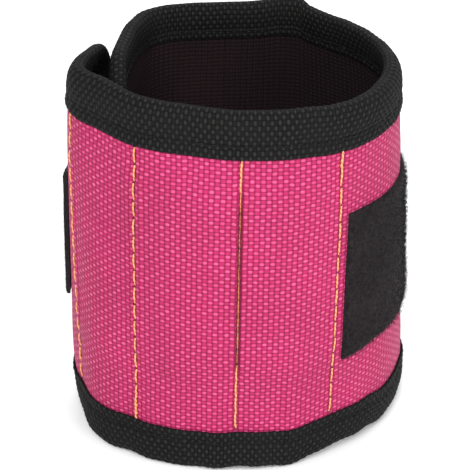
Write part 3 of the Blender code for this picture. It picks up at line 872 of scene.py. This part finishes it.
class Growing(Shading):
    """Short ways to add nodes to a geometry tree with named inputs."""

    def __init__(self, name, **inputs):
        super().__init__(bpy.data.node_groups.new(name, "GeometryNodeTree"))
        self.sockets = {}
        self.socket("Geometry", "Geometry")
        for label, default in inputs.items():
            socket = self.socket(label, "Int" if isinstance(default, int) else "Float")
            socket.default_value = default
        self.socket("Material", "Material")
        self.tree.interface.new_socket("Geometry", in_out="OUTPUT", socket_type="NodeSocketGeometry")
        self.given = self.node("NodeGroupInput").outputs
        self.result = self.node("NodeGroupOutput").inputs

    def socket(self, label, kind):
        socket = self.tree.interface.new_socket(label, in_out="INPUT", socket_type=f"NodeSocket{kind}")
        self.sockets[label] = socket.identifier
        return socket

    def link(self, kind, outlet=0, settings=None, **values):
        made = self.node(kind, **(settings or {}))
        for key, value in values.items():
            self.put(made.inputs[key.replace("_", " ")], value)
        return made.outputs[outlet]

    def vector(self, x, y, z):
        return self.link("ShaderNodeCombineXYZ", X=x, Y=y, Z=z)

    def named(self, name):
        return self.link("GeometryNodeInputNamedAttribute", settings={"data_type": "FLOAT_VECTOR"}, Name=name)

    def lie_along(self, run, out):
        """A rotation that lays X along one named direction, with Z towards the other."""
        axes = {"primary_axis": "X", "secondary_axis": "Z"}
        directions = {"Primary_Axis": self.named(run), "Secondary_Axis": self.named(out)}
        return self.link("FunctionNodeAxesToRotation", settings=axes, **directions)

    def random(self, kind, first, low, high):
        """A draw between two values for every point, from the tree's seed."""
        made = self.node("FunctionNodeRandomValue", data_type=kind)
        self.put(made.inputs[first], low)
        self.put(made.inputs[first + 1], high)
        self.put(made.inputs["Seed"], self.given["Seed"])
        return made.outputs[first // 2]

    def turned(self, rotation, low, high):
        turn = self.random("FLOAT_VECTOR", 0, low, high)
        space = {"rotation_space": "LOCAL"}
        return self.link("FunctionNodeRotateRotation", settings=space, Rotation=rotation, Rotate_By=turn)

    def strand(self, start, middle, end, steps, sides):
        """A closed tube along a bent line."""
        bend = {"Start": start, "Middle": middle, "End": end}
        line = self.link("GeometryNodeCurveQuadraticBezier", Resolution=steps, **bend)
        ring = self.link("GeometryNodeCurvePrimitiveCircle", Resolution=sides, Radius=self.given["Radius"])
        tube = self.link("GeometryNodeCurveToMesh", Curve=line, Profile_Curve=ring, Fill_Caps=True)
        return self.link("GeometryNodeSetShadeSmooth", Geometry=tube)

    def place(self, points, strand, rotation, smallest, largest):
        """The strand on every point, as real geometry with the tree's material."""
        size = self.random("FLOAT", 2, smallest, largest)
        where = {"Points": points, "Instance": strand, "Rotation": rotation, "Scale": size}
        copies = self.link("GeometryNodeInstanceOnPoints", **where)
        real = self.link("GeometryNodeRealizeInstances", Geometry=copies)
        done = self.link("GeometryNodeSetMaterial", Geometry=real, Material=self.given["Material"])
        self.put(self.result[0], done)
        return self


def stitch_tree():
    """A bowed stitch on every point, lying along its "run" and lifted along its "out"."""
    tree = Growing("Stitch row", Length=0.0036, Radius=0.0002, Rise=0.0002, Bow=0.0002, Wander=0.05, Seed=1)
    given, times = tree.given, tree.times
    half, dip = times(given["Length"], 0.5), times(given["Radius"], -1.0)
    stitch = tree.strand(
        tree.vector(times(half, -1.0), 0.0, dip),
        tree.vector(0.0, given["Bow"], times(given["Rise"], 2.0)),
        tree.vector(half, 0.0, dip),
        steps=10,
        sides=8,
    )
    low, high = (tree.vector(0.0, 0.0, times(given["Wander"], side)) for side in (-1.0, 1.0))
    lie = tree.turned(tree.lie_along("run", "out"), low, high)
    return tree.place(given["Geometry"], stitch, lie, 0.93, 1.06)


def nap_tree():
    """Bent fibres scattered over a surface and leaning every way."""
    tree = Growing("Brushed nap", Density=5.5e6, Length=0.0009, Radius=0.00003, Lean=0.9, Seed=1)
    given, times = tree.given, tree.times
    scatter = tree.node("GeometryNodeDistributePointsOnFaces", distribute_method="RANDOM")
    for label, source in (("Mesh", "Geometry"), ("Density", "Density"), ("Seed", "Seed")):
        tree.put(scatter.inputs[label], given[source])
    length, reach = given["Length"], times(given["Length"], 0.75)
    fibre = tree.strand(
        tree.vector(0.0, 0.0, times(length, -0.25)),
        tree.vector(times(reach, 0.1), 0.0, times(length, 1.1)),
        tree.vector(reach, times(reach, 0.35), times(length, 0.45)),
        steps=3,
        sides=3,
    )
    lean, back = given["Lean"], times(given["Lean"], -1.0)
    low, high = tree.vector(back, back, -math.pi), tree.vector(lean, lean, math.pi)
    lie = tree.turned(scatter.outputs["Rotation"], low, high)
    return tree.place(scatter.outputs["Points"], fibre, lie, 0.55, 1.25)


def hook_tree():
    """Small crooks standing on every point along its "out", turned by its "run"."""
    tree = Growing("Hook rows", Reach=0.0007, Radius=0.00009, Seed=1)
    reach, times = tree.given["Reach"], tree.times
    crook = tree.strand(
        tree.vector(0.0, 0.0, times(reach, -0.3)),
        tree.vector(0.0, 0.0, times(reach, 2.0)),
        tree.vector(times(reach, 0.8), 0.0, times(reach, 0.45)),
        steps=6,
        sides=5,
    )
    return tree.place(tree.given["Geometry"], crook, tree.lie_along("run", "out"), 0.85, 1.15)


TREES = {}


def grow(name, kind, ground, material, slot, **inputs):
    """A plain mesh piece grown by one of the trees on a ground mesh."""
    makers = {"stitch": stitch_tree, "nap": nap_tree, "hook": hook_tree}
    if kind not in TREES:
        TREES[kind] = makers[kind]()
    tree = TREES[kind]
    holder = bpy.data.objects.new(f"{name}_ground", ground)
    bpy.context.scene.collection.objects.link(holder)
    modifier = holder.modifiers.new(kind, "NODES")
    modifier.node_group = tree.tree
    for label, value in {**inputs, "Material": material}.items():
        modifier[tree.sockets[label]] = value
    holder.update_tag()
    bpy.context.view_layer.update()
    graph = bpy.context.evaluated_depsgraph_get()
    mesh = bpy.data.meshes.new_from_object(holder.evaluated_get(graph), depsgraph=graph)
    mesh.name = name
    bpy.data.objects.remove(holder)
    return add_piece(name, mesh, material, slot)


def point_ground(name, points, run, out):
    """A mesh of loose points in millimetres that carry the directions in which a stitch or hook lies."""
    mesh = bpy.data.meshes.new(name)
    mesh.from_pydata((np.array(points) * MM).tolist(), [], [])
    for label, values in (("run", run), ("out", out)):
        layer = mesh.attributes.new(label, "FLOAT_VECTOR", "POINT")
        layer.data.foreach_set("vector", np.array(values, np.float32).ravel())
    return mesh


def grid_ground(name, points):
    """An open mesh over a grid of points in millimetres, facing outwards."""
    _, faces = grid_faces(*points.shape[:2])
    mesh = bpy.data.meshes.new(name)
    mesh.from_pydata((points.reshape(-1, 3) * MM).tolist(), [], faces.tolist())
    return mesh


# ---------------------------------------------------------------- pieces


def nodes_of(prefix, index):
    return [f"{prefix}_{body}" for body in BODIES[index : index + 2]]


def make_layer(kind, index, s, z, outer, inner):
    """One stretch of the cover or of the lining, from its outer to its inner face."""
    crease = CREASES[index]
    mesh = cloth_mesh(f"{kind}_{crease}", wall(s, z, outer), wall(s, z, inner), cloth_uv(s, z))
    piece = add_piece(f"{kind}_{crease}", mesh, finish_of(kind), kind)
    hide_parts(*nodes_of(kind, index))
    blend_at(piece, crease)


def make_cover():
    for index, crease in enumerate(CREASES):
        fine = SEAM_COLUMN_STEP if crease.startswith("seam") else None
        s, z = layer_grid(crease, CUTS[index], CUTS[index + 1], COLUMN_STEP, ROW_STEP, fine)
        depth = cover_depth(s, z)
        make_layer("cover", index, s, z, depth, depth - COVER_THICK)


def make_lining():
    for index, crease in enumerate(CREASES):
        s, z = layer_grid(crease, CUTS[index], CUTS[index + 1], RIB_PITCH / 4, LINING_ROW_STEP)
        depth = lining_depth(s, z)
        ribs = RIB * (1 + np.cos(s / RIB_PITCH * math.tau)) * (0.85 + 0.15 * ripple(s, z, 3, 4))
        make_layer("lining", index, s, z, depth, depth - LINING_THICK - ribs)


# The tape's outer face from its outside edge over the fold to its inside edge: how far each point is from the
# strap's edge, and its depth
TAPE_PROFILE = [
    *((10.0, 0.44), (9.2, 0.66), (8.2, 0.56), (TAPE_STITCH_INSET, 0.44), (6.2, 0.70), (4.6, 0.86)),
    *((2.9, 0.90), (1.5, 0.74), (0.45, 0.20), (0.0, -0.95), (0.45, -2.05), (1.5, -2.55)),
    *((3.0, -2.72), (4.6, -2.66), (5.9, -2.42), (7.0, -2.58), (8.0, -2.36)),
]


def tape_sections():
    """The profile's outer and inner line, and how far along the outer one each point is."""
    at = run_of(np.array(TAPE_PROFILE))
    outer = smooth_curve(TAPE_PROFILE, at, 3)
    ahead = np.gradient(outer, axis=0)
    ahead /= np.linalg.norm(ahead, axis=1)[:, None]
    side = np.stack([-ahead[:, 1], ahead[:, 0]], axis=1)
    inner = outer + side * TAPE_THICK
    return outer, inner, run_of(outer)


def tape_edge(low, high, edge):
    """Stations along an edge of the strap as (s, z, direction inwards along s, and along z)."""
    if edge == "top":
        return [(s, HEIGHT, 0.0, -1.0) for s in spaced(low, high, TAPE_STEP)]
    if edge == "bottom":
        return [(s, 0.0, 0.0, 1.0) for s in spaced(low, high, TAPE_STEP)[::-1]]
    inner = high if edge == "end_a" else LENGTH - low
    distances = spaced(CORNER_RADIUS, inner, TAPE_STEP)[:0:-1]
    half = [(distance, 0.0, 0.0, 1.0) for distance in distances]
    for turn in np.linspace(0, math.pi / 2, 30):
        across, up = math.sin(turn), math.cos(turn)
        half.append((CORNER_RADIUS * (1 - across), CORNER_RADIUS * (1 - up), across, up))
    half += [(0.0, z, 1.0, 0.0) for z in spaced(CORNER_RADIUS, HEIGHT / 2, TAPE_STEP)[1:]]
    whole = half + [(s, HEIGHT - z, in_s, -in_z) for s, z, in_s, in_z in half[-2::-1]]
    if edge == "end_a":
        return whole
    return [(LENGTH - s, z, -in_s, in_z) for s, z, in_s, in_z in whole[::-1]]


def tape_points(edge, section, along):
    """Wall points of one side of the tape, drawn in a little at each of its stitches."""
    station = np.array(edge)[:, None, :]
    distance, depth = section[None, :, 0], section[None, :, 1]
    along = along[:, None]
    pull = NEEDLE_PULL * np.cos(along / TAPE_PITCH * math.tau) * bump(distance - TAPE_STITCH_INSET, 1.3)
    ribs = np.cos(along / TAPE_RIB * math.pi) * np.cos(run_of(section) / TAPE_PIP * math.pi)
    depth = depth + np.sign(depth + 0.9) * (TAPE_RELIEF * ribs - pull)
    s, z, in_s, in_z = (station[..., k] for k in range(4))
    return wall(s + in_s * distance, z + in_z * distance, depth)


def add_tape(name, edge, crease, nodes):
    outer, inner, width = tape_sections()
    along = run_of(np.array(edge)[:, :2])
    uv = cloth_uv(*np.broadcast_arrays((along + edge[0][0])[:, None], width[None, :]))
    mesh = cloth_mesh(name, tape_points(edge, outer, along), tape_points(edge, inner, along), uv)
    piece = add_piece(name, mesh, finish_of("binding"), "binding")
    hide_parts(*nodes)
    blend_at(piece, crease)


def make_binding():
    last = len(CREASES) - 1
    for index, crease in enumerate(CREASES):
        low, high = CUTS[index], CUTS[index + 1]
        first, second = BODIES[index], BODIES[index + 1]
        if index in (0, last):
            end, other = ("end_a", second) if index == 0 else ("end_b", first)
            nodes = [f"binding_{end}", f"binding_top_{other}", f"binding_bottom_{other}"]
            add_tape(f"binding_{end}", tape_edge(low, high, end), crease, nodes)
            continue
        for edge in ("top", "bottom"):
            nodes = [f"binding_{edge}_{body}" for body in (first, second)]
            add_tape(f"binding_{edge}_{crease}", tape_edge(low, high, edge), crease, nodes)


def loop_low(s):
    """The patch's lower edge, which is sewn a little askew at the front."""
    return LOOP_LOW + (LOOP_LOW_BEHIND - LOOP_LOW) * rise(s, PLACE["seam_4"], PLACE["side_crease"])


def patch_depth(s, z, low, high):
    """The loop patch's outer face: its padded base is round at its edges."""
    from_edge = np.minimum(np.minimum(s - low, high - s), np.minimum(z - loop_low(s), LOOP_HIGH - z))
    round_edge = np.sqrt(np.clip(1 - (1 - np.clip(from_edge / LOOP_ROUND, 0, 1)) ** 2, 0, 1))
    return LOOP_EDGE + LOOP_BASE * round_edge + 0.12 * ripple(s, z, 6, 9)


def make_loop_patch():
    start, end = PLACE["seam_4"] + LOOP_FROM_SEAM, PLACE["corner_crease"] + LOOP_ON_END_B
    first = CREASES.index("side_crease")
    for index, crease in list(enumerate(CREASES))[first:]:
        low, high = CUTS[index] if index > first else start, min(end, CUTS[index + 1])
        rows = spaced(0, 1, LOOP_STEP / (LOOP_HIGH - LOOP_LOW))
        s, share = np.meshgrid(spaced(low, high, LOOP_STEP), rows, indexing="ij")
        z = loop_low(s) + (LOOP_HIGH - loop_low(s)) * share
        under = cover_depth(s, z)
        face = under + patch_depth(s, z, start, end)
        mesh = cloth_mesh(f"loop_patch_{crease}", wall(s, z, face), wall(s, z, under + 0.05), cloth_uv(s, z))
        piece = add_piece(f"loop_patch_{crease}", mesh, finish_of("loop"), "loop")
        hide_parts(*nodes_of("loop_patch", index))
        blend_at(piece, crease)
        ground = grid_ground(f"loop_nap_{crease}", wall(s, z, face - 0.1))
        nap = grow(f"loop_nap_{crease}", "nap", ground, finish_of("loop"), "loop", Seed=40 + index)
        blend_at(nap, crease)


def tab_line(z, lift):
    """The tab's outer face from its sewn end over the edge of end A to its tip on end B, at one height."""
    tip = PLACE["corner_crease"] + LOOP_ON_END_B
    over = TAB_ON_TAPE + TAB_THICK + lift
    on_loop = TAB_ON_LOOP + HOOK_BASE + TAB_THICK + lift
    route = [wall(s, z, TAB_THICK + 0.25 + lift) for s in (TAB_SEWN, 13.2, 12.0)]
    route += [wall(s, z, over) for s in (10.0, 8.0, 5.5, 3.0, 0.8, -TAB_PAST_EDGE)]
    middle = (route[-1] + wall(tip, z, on_loop)) / 2
    route.append(middle + (route[-1] - route[-2]) / 4)
    route += [wall(s, z, on_loop) for s in (tip - 0.5, tip - TAB_REACH / 2, tip - TAB_REACH)]
    route = np.array(route)
    return smooth_curve(route, run_of(route), 7)


def make_tab():
    """A soft strap of loop tape, sewn on end A, with a field of hooks on the inner face of its free end."""
    heights = spaced(TAB_LOW, TAB_HIGH, TAB_ROW_STEP)
    outer, inner = (np.stack([tab_line(z, lift) for z in heights], axis=1) for lift in (0.0, -TAB_THICK))
    along = run_of(outer[:, 0])
    uv = cloth_uv(*np.broadcast_arrays(along[:, None], heights[None, :]))
    edge = np.minimum(heights - TAB_LOW, TAB_HIGH - heights)
    sink = 0.3 * (1 - np.clip(edge / TAB_ROW_STEP, 0, 1)) ** 2
    toward = (outer - inner) / np.linalg.norm(outer - inner, axis=-1, keepdims=True)
    face = outer - toward * sink[None, :, None]
    strap = add_piece("tab_strap", cloth_mesh("tab_strap", face, inner, uv), finish_of("hook"), "hook")
    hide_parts("tab_root", "closing_tab")
    ground = grid_ground("tab_nap", face)
    nap = grow("tab_nap", "nap", ground, finish_of("hook"), "hook", Seed=71, Length=0.0008, Density=5.0e6)

    # The hooks begin past the edge of end A
    past_edge = np.linalg.norm(outer[:, 0, :2] - wall(-1.2, TAB_LOW, 1.4)[:2], axis=1)
    first = np.argmin(past_edge) + 1
    backing = [inner[first:] - toward[first:] * depth for depth in (0.05, HOOK_BASE)]
    hook_base = cloth_mesh("hook_field", *backing, uv[first:])
    field = add_piece("hook_field_cloth", hook_base, finish_of("hook"), "hook")
    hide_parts("hook_field")
    points, run, out = [], [], []
    for i in range(first + 2, len(along) - 1, 2):
        for j in range(1, len(heights) - 1):
            points.append(inner[i, j] - toward[i, j] * HOOK_BASE)
            ahead = inner[i + 1, j] - inner[i, j]
            run.append(ahead / np.linalg.norm(ahead) * (1 if j % 2 else -1))
            out.append(-toward[i, j])
    ground = point_ground("hook_rows", points, run, out)
    hooks = grow("hook_rows", "hook", ground, finish_of("hook"), "hook", Seed=9, Reach=0.00035)
    for piece in (field, hooks):
        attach(piece, "tab")
    middle = (TAB_LOW + TAB_HIGH) / 2
    ahead = Vector((*(plan(0.0, middle) - plan(3.0, middle)), 0)).normalized() * TAB_HINGE_REACH
    for piece in (strap, nap):
        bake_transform(piece)


def seam_stitches(number):
    """Places of the stitches up one seam, with the doubled ones that lock an end of two of the seams."""
    heights = list(np.arange(SEAM_HIGH - SEAM_PITCH / 2, SEAM_LOW, -SEAM_PITCH))
    if number == 4:
        heights += [SEAM_HIGH - SEAM_PITCH * 0.9, SEAM_HIGH - SEAM_PITCH * 0.15]
    if number == 2:
        heights += [SEAM_LOW + 1.0, SEAM_LOW + SEAM_PITCH]
    return np.array(heights)


def make_seam_stitches():
    for number in (1, 2, 3, 4):
        crease = f"seam_{number}"
        z = seam_stitches(number)
        s = PLACE[crease] + 0.22 * ripple(z, 0 * z, 30, number) + 0.06 * ripple(z, 0 * z, 7, number)
        middle, above = wall(s, z, cover_depth(s, z)), wall(s, z + 1, cover_depth(s, z + 1))
        side = outward(s, z)
        run = above - middle
        run /= np.linalg.norm(run, axis=1)[:, None]
        out = np.concatenate([side, np.zeros((len(z), 1))], axis=1)
        ground = point_ground(f"stitches_{crease}", middle + out * 0.2, run, out)
        sizes = {"Seed": number, "Length": 0.0038}
        piece = grow(f"stitches_{crease}", "stitch", ground, finish_of("seam_thread"), "cover", **sizes)
        blend_at(piece, crease)


def make_tape_stitches():
    """The black row that holds the tape, outside and inside, on each stretch."""
    last = len(CREASES) - 1
    for index, crease in enumerate(CREASES):
        points, run, out = [], [], []
        for kind in {0: ("end_a",), last: ("end_b",)}.get(index, ("top", "bottom")):
            edge = np.array(tape_edge(CUTS[index], CUTS[index + 1], kind))
            along = run_of(edge[:, :2])
            at = np.arange(TAPE_PITCH / 2, along[-1], TAPE_PITCH)
            for face, inset, depth in TAPE_STITCH_ROWS:
                places = []
                for shift in (-1.0, 0.0, 1.0):
                    s, z, in_s, in_z = (np.interp(at + shift, along, edge[:, k]) for k in range(4))
                    from_edge = inset + 0.25 * ripple(s, z, 19, 6)
                    places.append(wall(s + in_s * from_edge, z + in_z * from_edge, depth))
                step = places[2] - places[0]
                points += list(places[1])
                run += list(step / np.linalg.norm(step, axis=1)[:, None])
                out += [(*side, 0.0) for side in outward(s, z) * face]
        name = f"tape_stitches_{crease}"
        ground = point_ground(name, points, run, out)
        sizes = {"Seed": 20 + index, "Length": 0.0031, "Radius": 0.00018}
        piece = grow(name, "stitch", ground, finish_of("tape_thread"), "binding", **sizes)
        blend_at(piece, crease)


def make_magnets():
    """The trays and magnets, seated between this strap's cover and lining."""
    for pocket in POCKETS:
        number = pocket["number"]
        nodes = (f"magnet_tray_{number}", f"magnet_{number}_1", f"magnet_{number}_2")
        for node, kind in zip(nodes, ("tray", "magnet", "magnet")):
            mesh = FRAME["nodes"][node].data.copy()
            shape = bmesh.new()
            shape.from_mesh(mesh)
            bmesh.ops.remove_doubles(shape, verts=shape.verts, dist=1e-6)
            shape.to_mesh(mesh)
            shape.free()
            mesh.transform(pocket["move"])
            piece = add_piece(f"seated_{node}", mesh, finish_of(kind), kind)
            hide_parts(node)
            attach(piece, f"pocket_{number}")


# ---------------------------------------------------------------- stage


FLOOR_REACH = 3.0
CAMERA_TARGET = (-0.00177, -0.00092)
CAMERA_AWAY = 0.380
CAMERA_UP, CAMERA_ROLL = math.radians(29.9), math.radians(1.14)
CAMERA_LENS = 135.9


def facing_turn(place, target):
    """The turn that makes a light or a camera look from its place at a target."""
    return (target - place).to_track_quat("-Z", "Y")


def make_stage():
    """A pale floor and backdrop, soft lights, and the camera."""
    settings = bpy.context.scene.wristband_stage
    paper = Finish("Pale paper", Specular_IOR_Level=0.1)
    speck = paper.noise(paper.place, 40, 2)
    paper.base(paper.ramp(speck, 0.3, 0.7), grey(0.9), grey(0.92))
    mesh = bpy.data.meshes.new("floor")
    corners = [(x * FLOOR_REACH, y * FLOOR_REACH, 0) for x, y in ((-1, -1), (1, -1), (1, 1), (-1, 1))]
    mesh.from_pydata(corners, [], [(0, 1, 2, 3)])
    floor = bpy.data.objects.new("floor", mesh)
    mesh.materials.append(paper.done(0.9, None))
    bpy.context.scene.collection.objects.link(floor)
    world = bpy.data.worlds.new("soft room")
    world.use_nodes = True
    background = world.node_tree.nodes["Background"].inputs
    background["Color"].default_value = grey(1.0)
    background["Strength"].default_value = settings.room_light
    bpy.context.scene.world = world
    bpy.context.scene.view_settings.view_transform = "Standard"
    for name, place, size, power in (
        ("key", (-0.12, -0.68, 0.68), 0.4, settings.key_light),
        ("fill", (0.6, -0.5, 0.4), 0.6, settings.key_light * 0.45),
        ("back", (0.1, 0.7, 0.7), 0.6, settings.key_light * 0.5),
    ):
        lamp = bpy.data.lights.new(name, "AREA")
        lamp.energy = power
        lamp.size = size
        light = bpy.data.objects.new(name, lamp)
        bpy.context.scene.collection.objects.link(light)
        light.location = place
        light.rotation_euler = facing_turn(light.location, Vector((0, 0, 0.04))).to_euler()
    camera = bpy.data.objects.new("camera", bpy.data.cameras.new("camera"))
    bpy.context.scene.collection.objects.link(camera)
    target = Vector((*CAMERA_TARGET, HEIGHT * MM / 2))
    camera.location = target + Vector((0, -math.cos(CAMERA_UP), math.sin(CAMERA_UP))) * CAMERA_AWAY
    look = facing_turn(camera.location, target).to_matrix()
    camera.rotation_euler = (look @ Matrix.Rotation(CAMERA_ROLL, 3, "Z")).to_euler()
    camera.data.lens = CAMERA_LENS
    camera.data.clip_start = 0.01
    bpy.context.scene.camera = camera


# ---------------------------------------------------------------- settings, operators and panel


def colour_property(name, description, default):
    return bpy.props.FloatVectorProperty(
        name=name, description=description, subtype="COLOR", size=4, min=0.0, max=1.0, default=default
    )


class WristbandColours(bpy.types.PropertyGroup):
    pink: colour_property("Pink", "Cover cloth", (0.42, 0.018, 0.1, 1.0))
    # The pink highlight is a painted highlight: the whitish glint of the cover's raised floats, laid on as
    # colour.
    pink_highlight: colour_property("Pink highlight", "Raised floats of the cover", (0.74, 0.125, 0.28, 1.0))
    black: colour_property("Black", "Binding tape", (0.0047, 0.0046, 0.0045, 1.0))
    lining: colour_property("Lining", "Mesh lining", (0.0095, 0.0045, 0.0056, 1.0))
    loop: colour_property("Loop", "Loop patch", (0.013, 0.0105, 0.0115, 1.0))
    hook: colour_property("Hook", "Closing tab and its hooks", (0.010, 0.0095, 0.0105, 1.0))
    thread: colour_property("Thread", "Topstitching of the pockets", (0.8, 0.36, 0.155, 1.0))


def size_property(name, description, default):
    return bpy.props.FloatProperty(
        name=name, description=description, default=default, unit="LENGTH", precision=5
    )


def light_property(name, description, default):
    return bpy.props.FloatProperty(name=name, description=description, default=default, min=0.0)


class WristbandCloth(bpy.types.PropertyGroup):
    weave_across: size_property("Weave across", "Width of an upright thread of the cover", 0.0011)
    weave_up: size_property("Weave up", "Height of a crosswise thread of the cover", 0.00084)


class WristbandStage(bpy.types.PropertyGroup):
    room_light: light_property("Room light", "Strength of the light all round", 0.6)
    key_light: light_property("Key light", "Power of the main light in watts", 8.0)


class WRISTBAND_OT_stage(bpy.types.Operator):
    """Add the floor, the lights and the camera"""

    bl_idname = "wristband.stage"
    bl_label = "Stage"

    def execute(self, context):
        make_stage()
        return {"FINISHED"}


class WRISTBAND_OT_cover(bpy.types.Operator):
    """Build the pink cover with its three magnet pockets"""

    bl_idname = "wristband.cover"
    bl_label = "Cover"

    def execute(self, context):
        make_cover()
        return {"FINISHED"}


class WRISTBAND_OT_lining(bpy.types.Operator):
    """Build the ribbed mesh lining"""

    bl_idname = "wristband.lining"
    bl_label = "Lining"

    def execute(self, context):
        make_lining()
        return {"FINISHED"}


class WRISTBAND_OT_binding(bpy.types.Operator):
    """Fold the black tape over every edge of the strap"""

    bl_idname = "wristband.binding"
    bl_label = "Binding"

    def execute(self, context):
        make_binding()
        return {"FINISHED"}


class WRISTBAND_OT_loop_patch(bpy.types.Operator):
    """Lay the loop patch round the outside and grow its nap"""

    bl_idname = "wristband.loop_patch"
    bl_label = "Loop patch"

    def execute(self, context):
        make_loop_patch()
        return {"FINISHED"}


class WRISTBAND_OT_tab(bpy.types.Operator):
    """Build the closing tab and its hooks"""

    bl_idname = "wristband.tab"
    bl_label = "Closing tab"

    def execute(self, context):
        make_tab()
        return {"FINISHED"}


class WRISTBAND_OT_stitches(bpy.types.Operator):
    """Sew the yellow rows on the seams and the black rows on the tape"""

    bl_idname = "wristband.stitches"
    bl_label = "Stitches"

    def execute(self, context):
        make_seam_stitches()
        make_tape_stitches()
        return {"FINISHED"}


class WRISTBAND_OT_magnets(bpy.types.Operator):
    """Seat the trays and the magnets in the pockets"""

    bl_idname = "wristband.magnets"
    bl_label = "Trays and magnets"

    def execute(self, context):
        make_magnets()
        return {"FINISHED"}


OPERATORS = [
    WRISTBAND_OT_stage,
    WRISTBAND_OT_cover,
    WRISTBAND_OT_lining,
    WRISTBAND_OT_binding,
    WRISTBAND_OT_loop_patch,
    WRISTBAND_OT_tab,
    WRISTBAND_OT_stitches,
    WRISTBAND_OT_magnets,
]
SETTINGS = {
    "wristband_colours": WristbandColours,
    "wristband_cloth": WristbandCloth,
    "wristband_stage": WristbandStage,
}


class WRISTBAND_PT_panel(bpy.types.Panel):
    bl_label = "Magnetic pin wristband"
    bl_idname = "WRISTBAND_PT_panel"
    bl_space_type = "VIEW_3D"
    bl_region_type = "UI"
    bl_category = "Wristband"

    def draw(self, context):
        for name in SETTINGS:
            group = getattr(context.scene, name)
            for key in group.__annotations__:
                self.layout.prop(group, key)
        for operator in OPERATORS:
            self.layout.operator(operator.bl_idname)


def register():
    for settings in SETTINGS.values():
        bpy.utils.register_class(settings)
    for name, settings in SETTINGS.items():
        setattr(bpy.types.Scene, name, bpy.props.PointerProperty(type=settings))
    for kind in (*OPERATORS, WRISTBAND_PT_panel):
        bpy.utils.register_class(kind)


def unregister():
    for kind in (WRISTBAND_PT_panel, *reversed(OPERATORS)):
        bpy.utils.unregister_class(kind)
    for name in SETTINGS:
        delattr(bpy.types.Scene, name)
    for settings in SETTINGS.values():
        bpy.utils.unregister_class(settings)


def main():
    register()
    for operator in OPERATORS:
        group, name = operator.bl_idname.split(".")
        getattr(getattr(bpy.ops, group), name)()


if __name__ == "__main__":
    main()
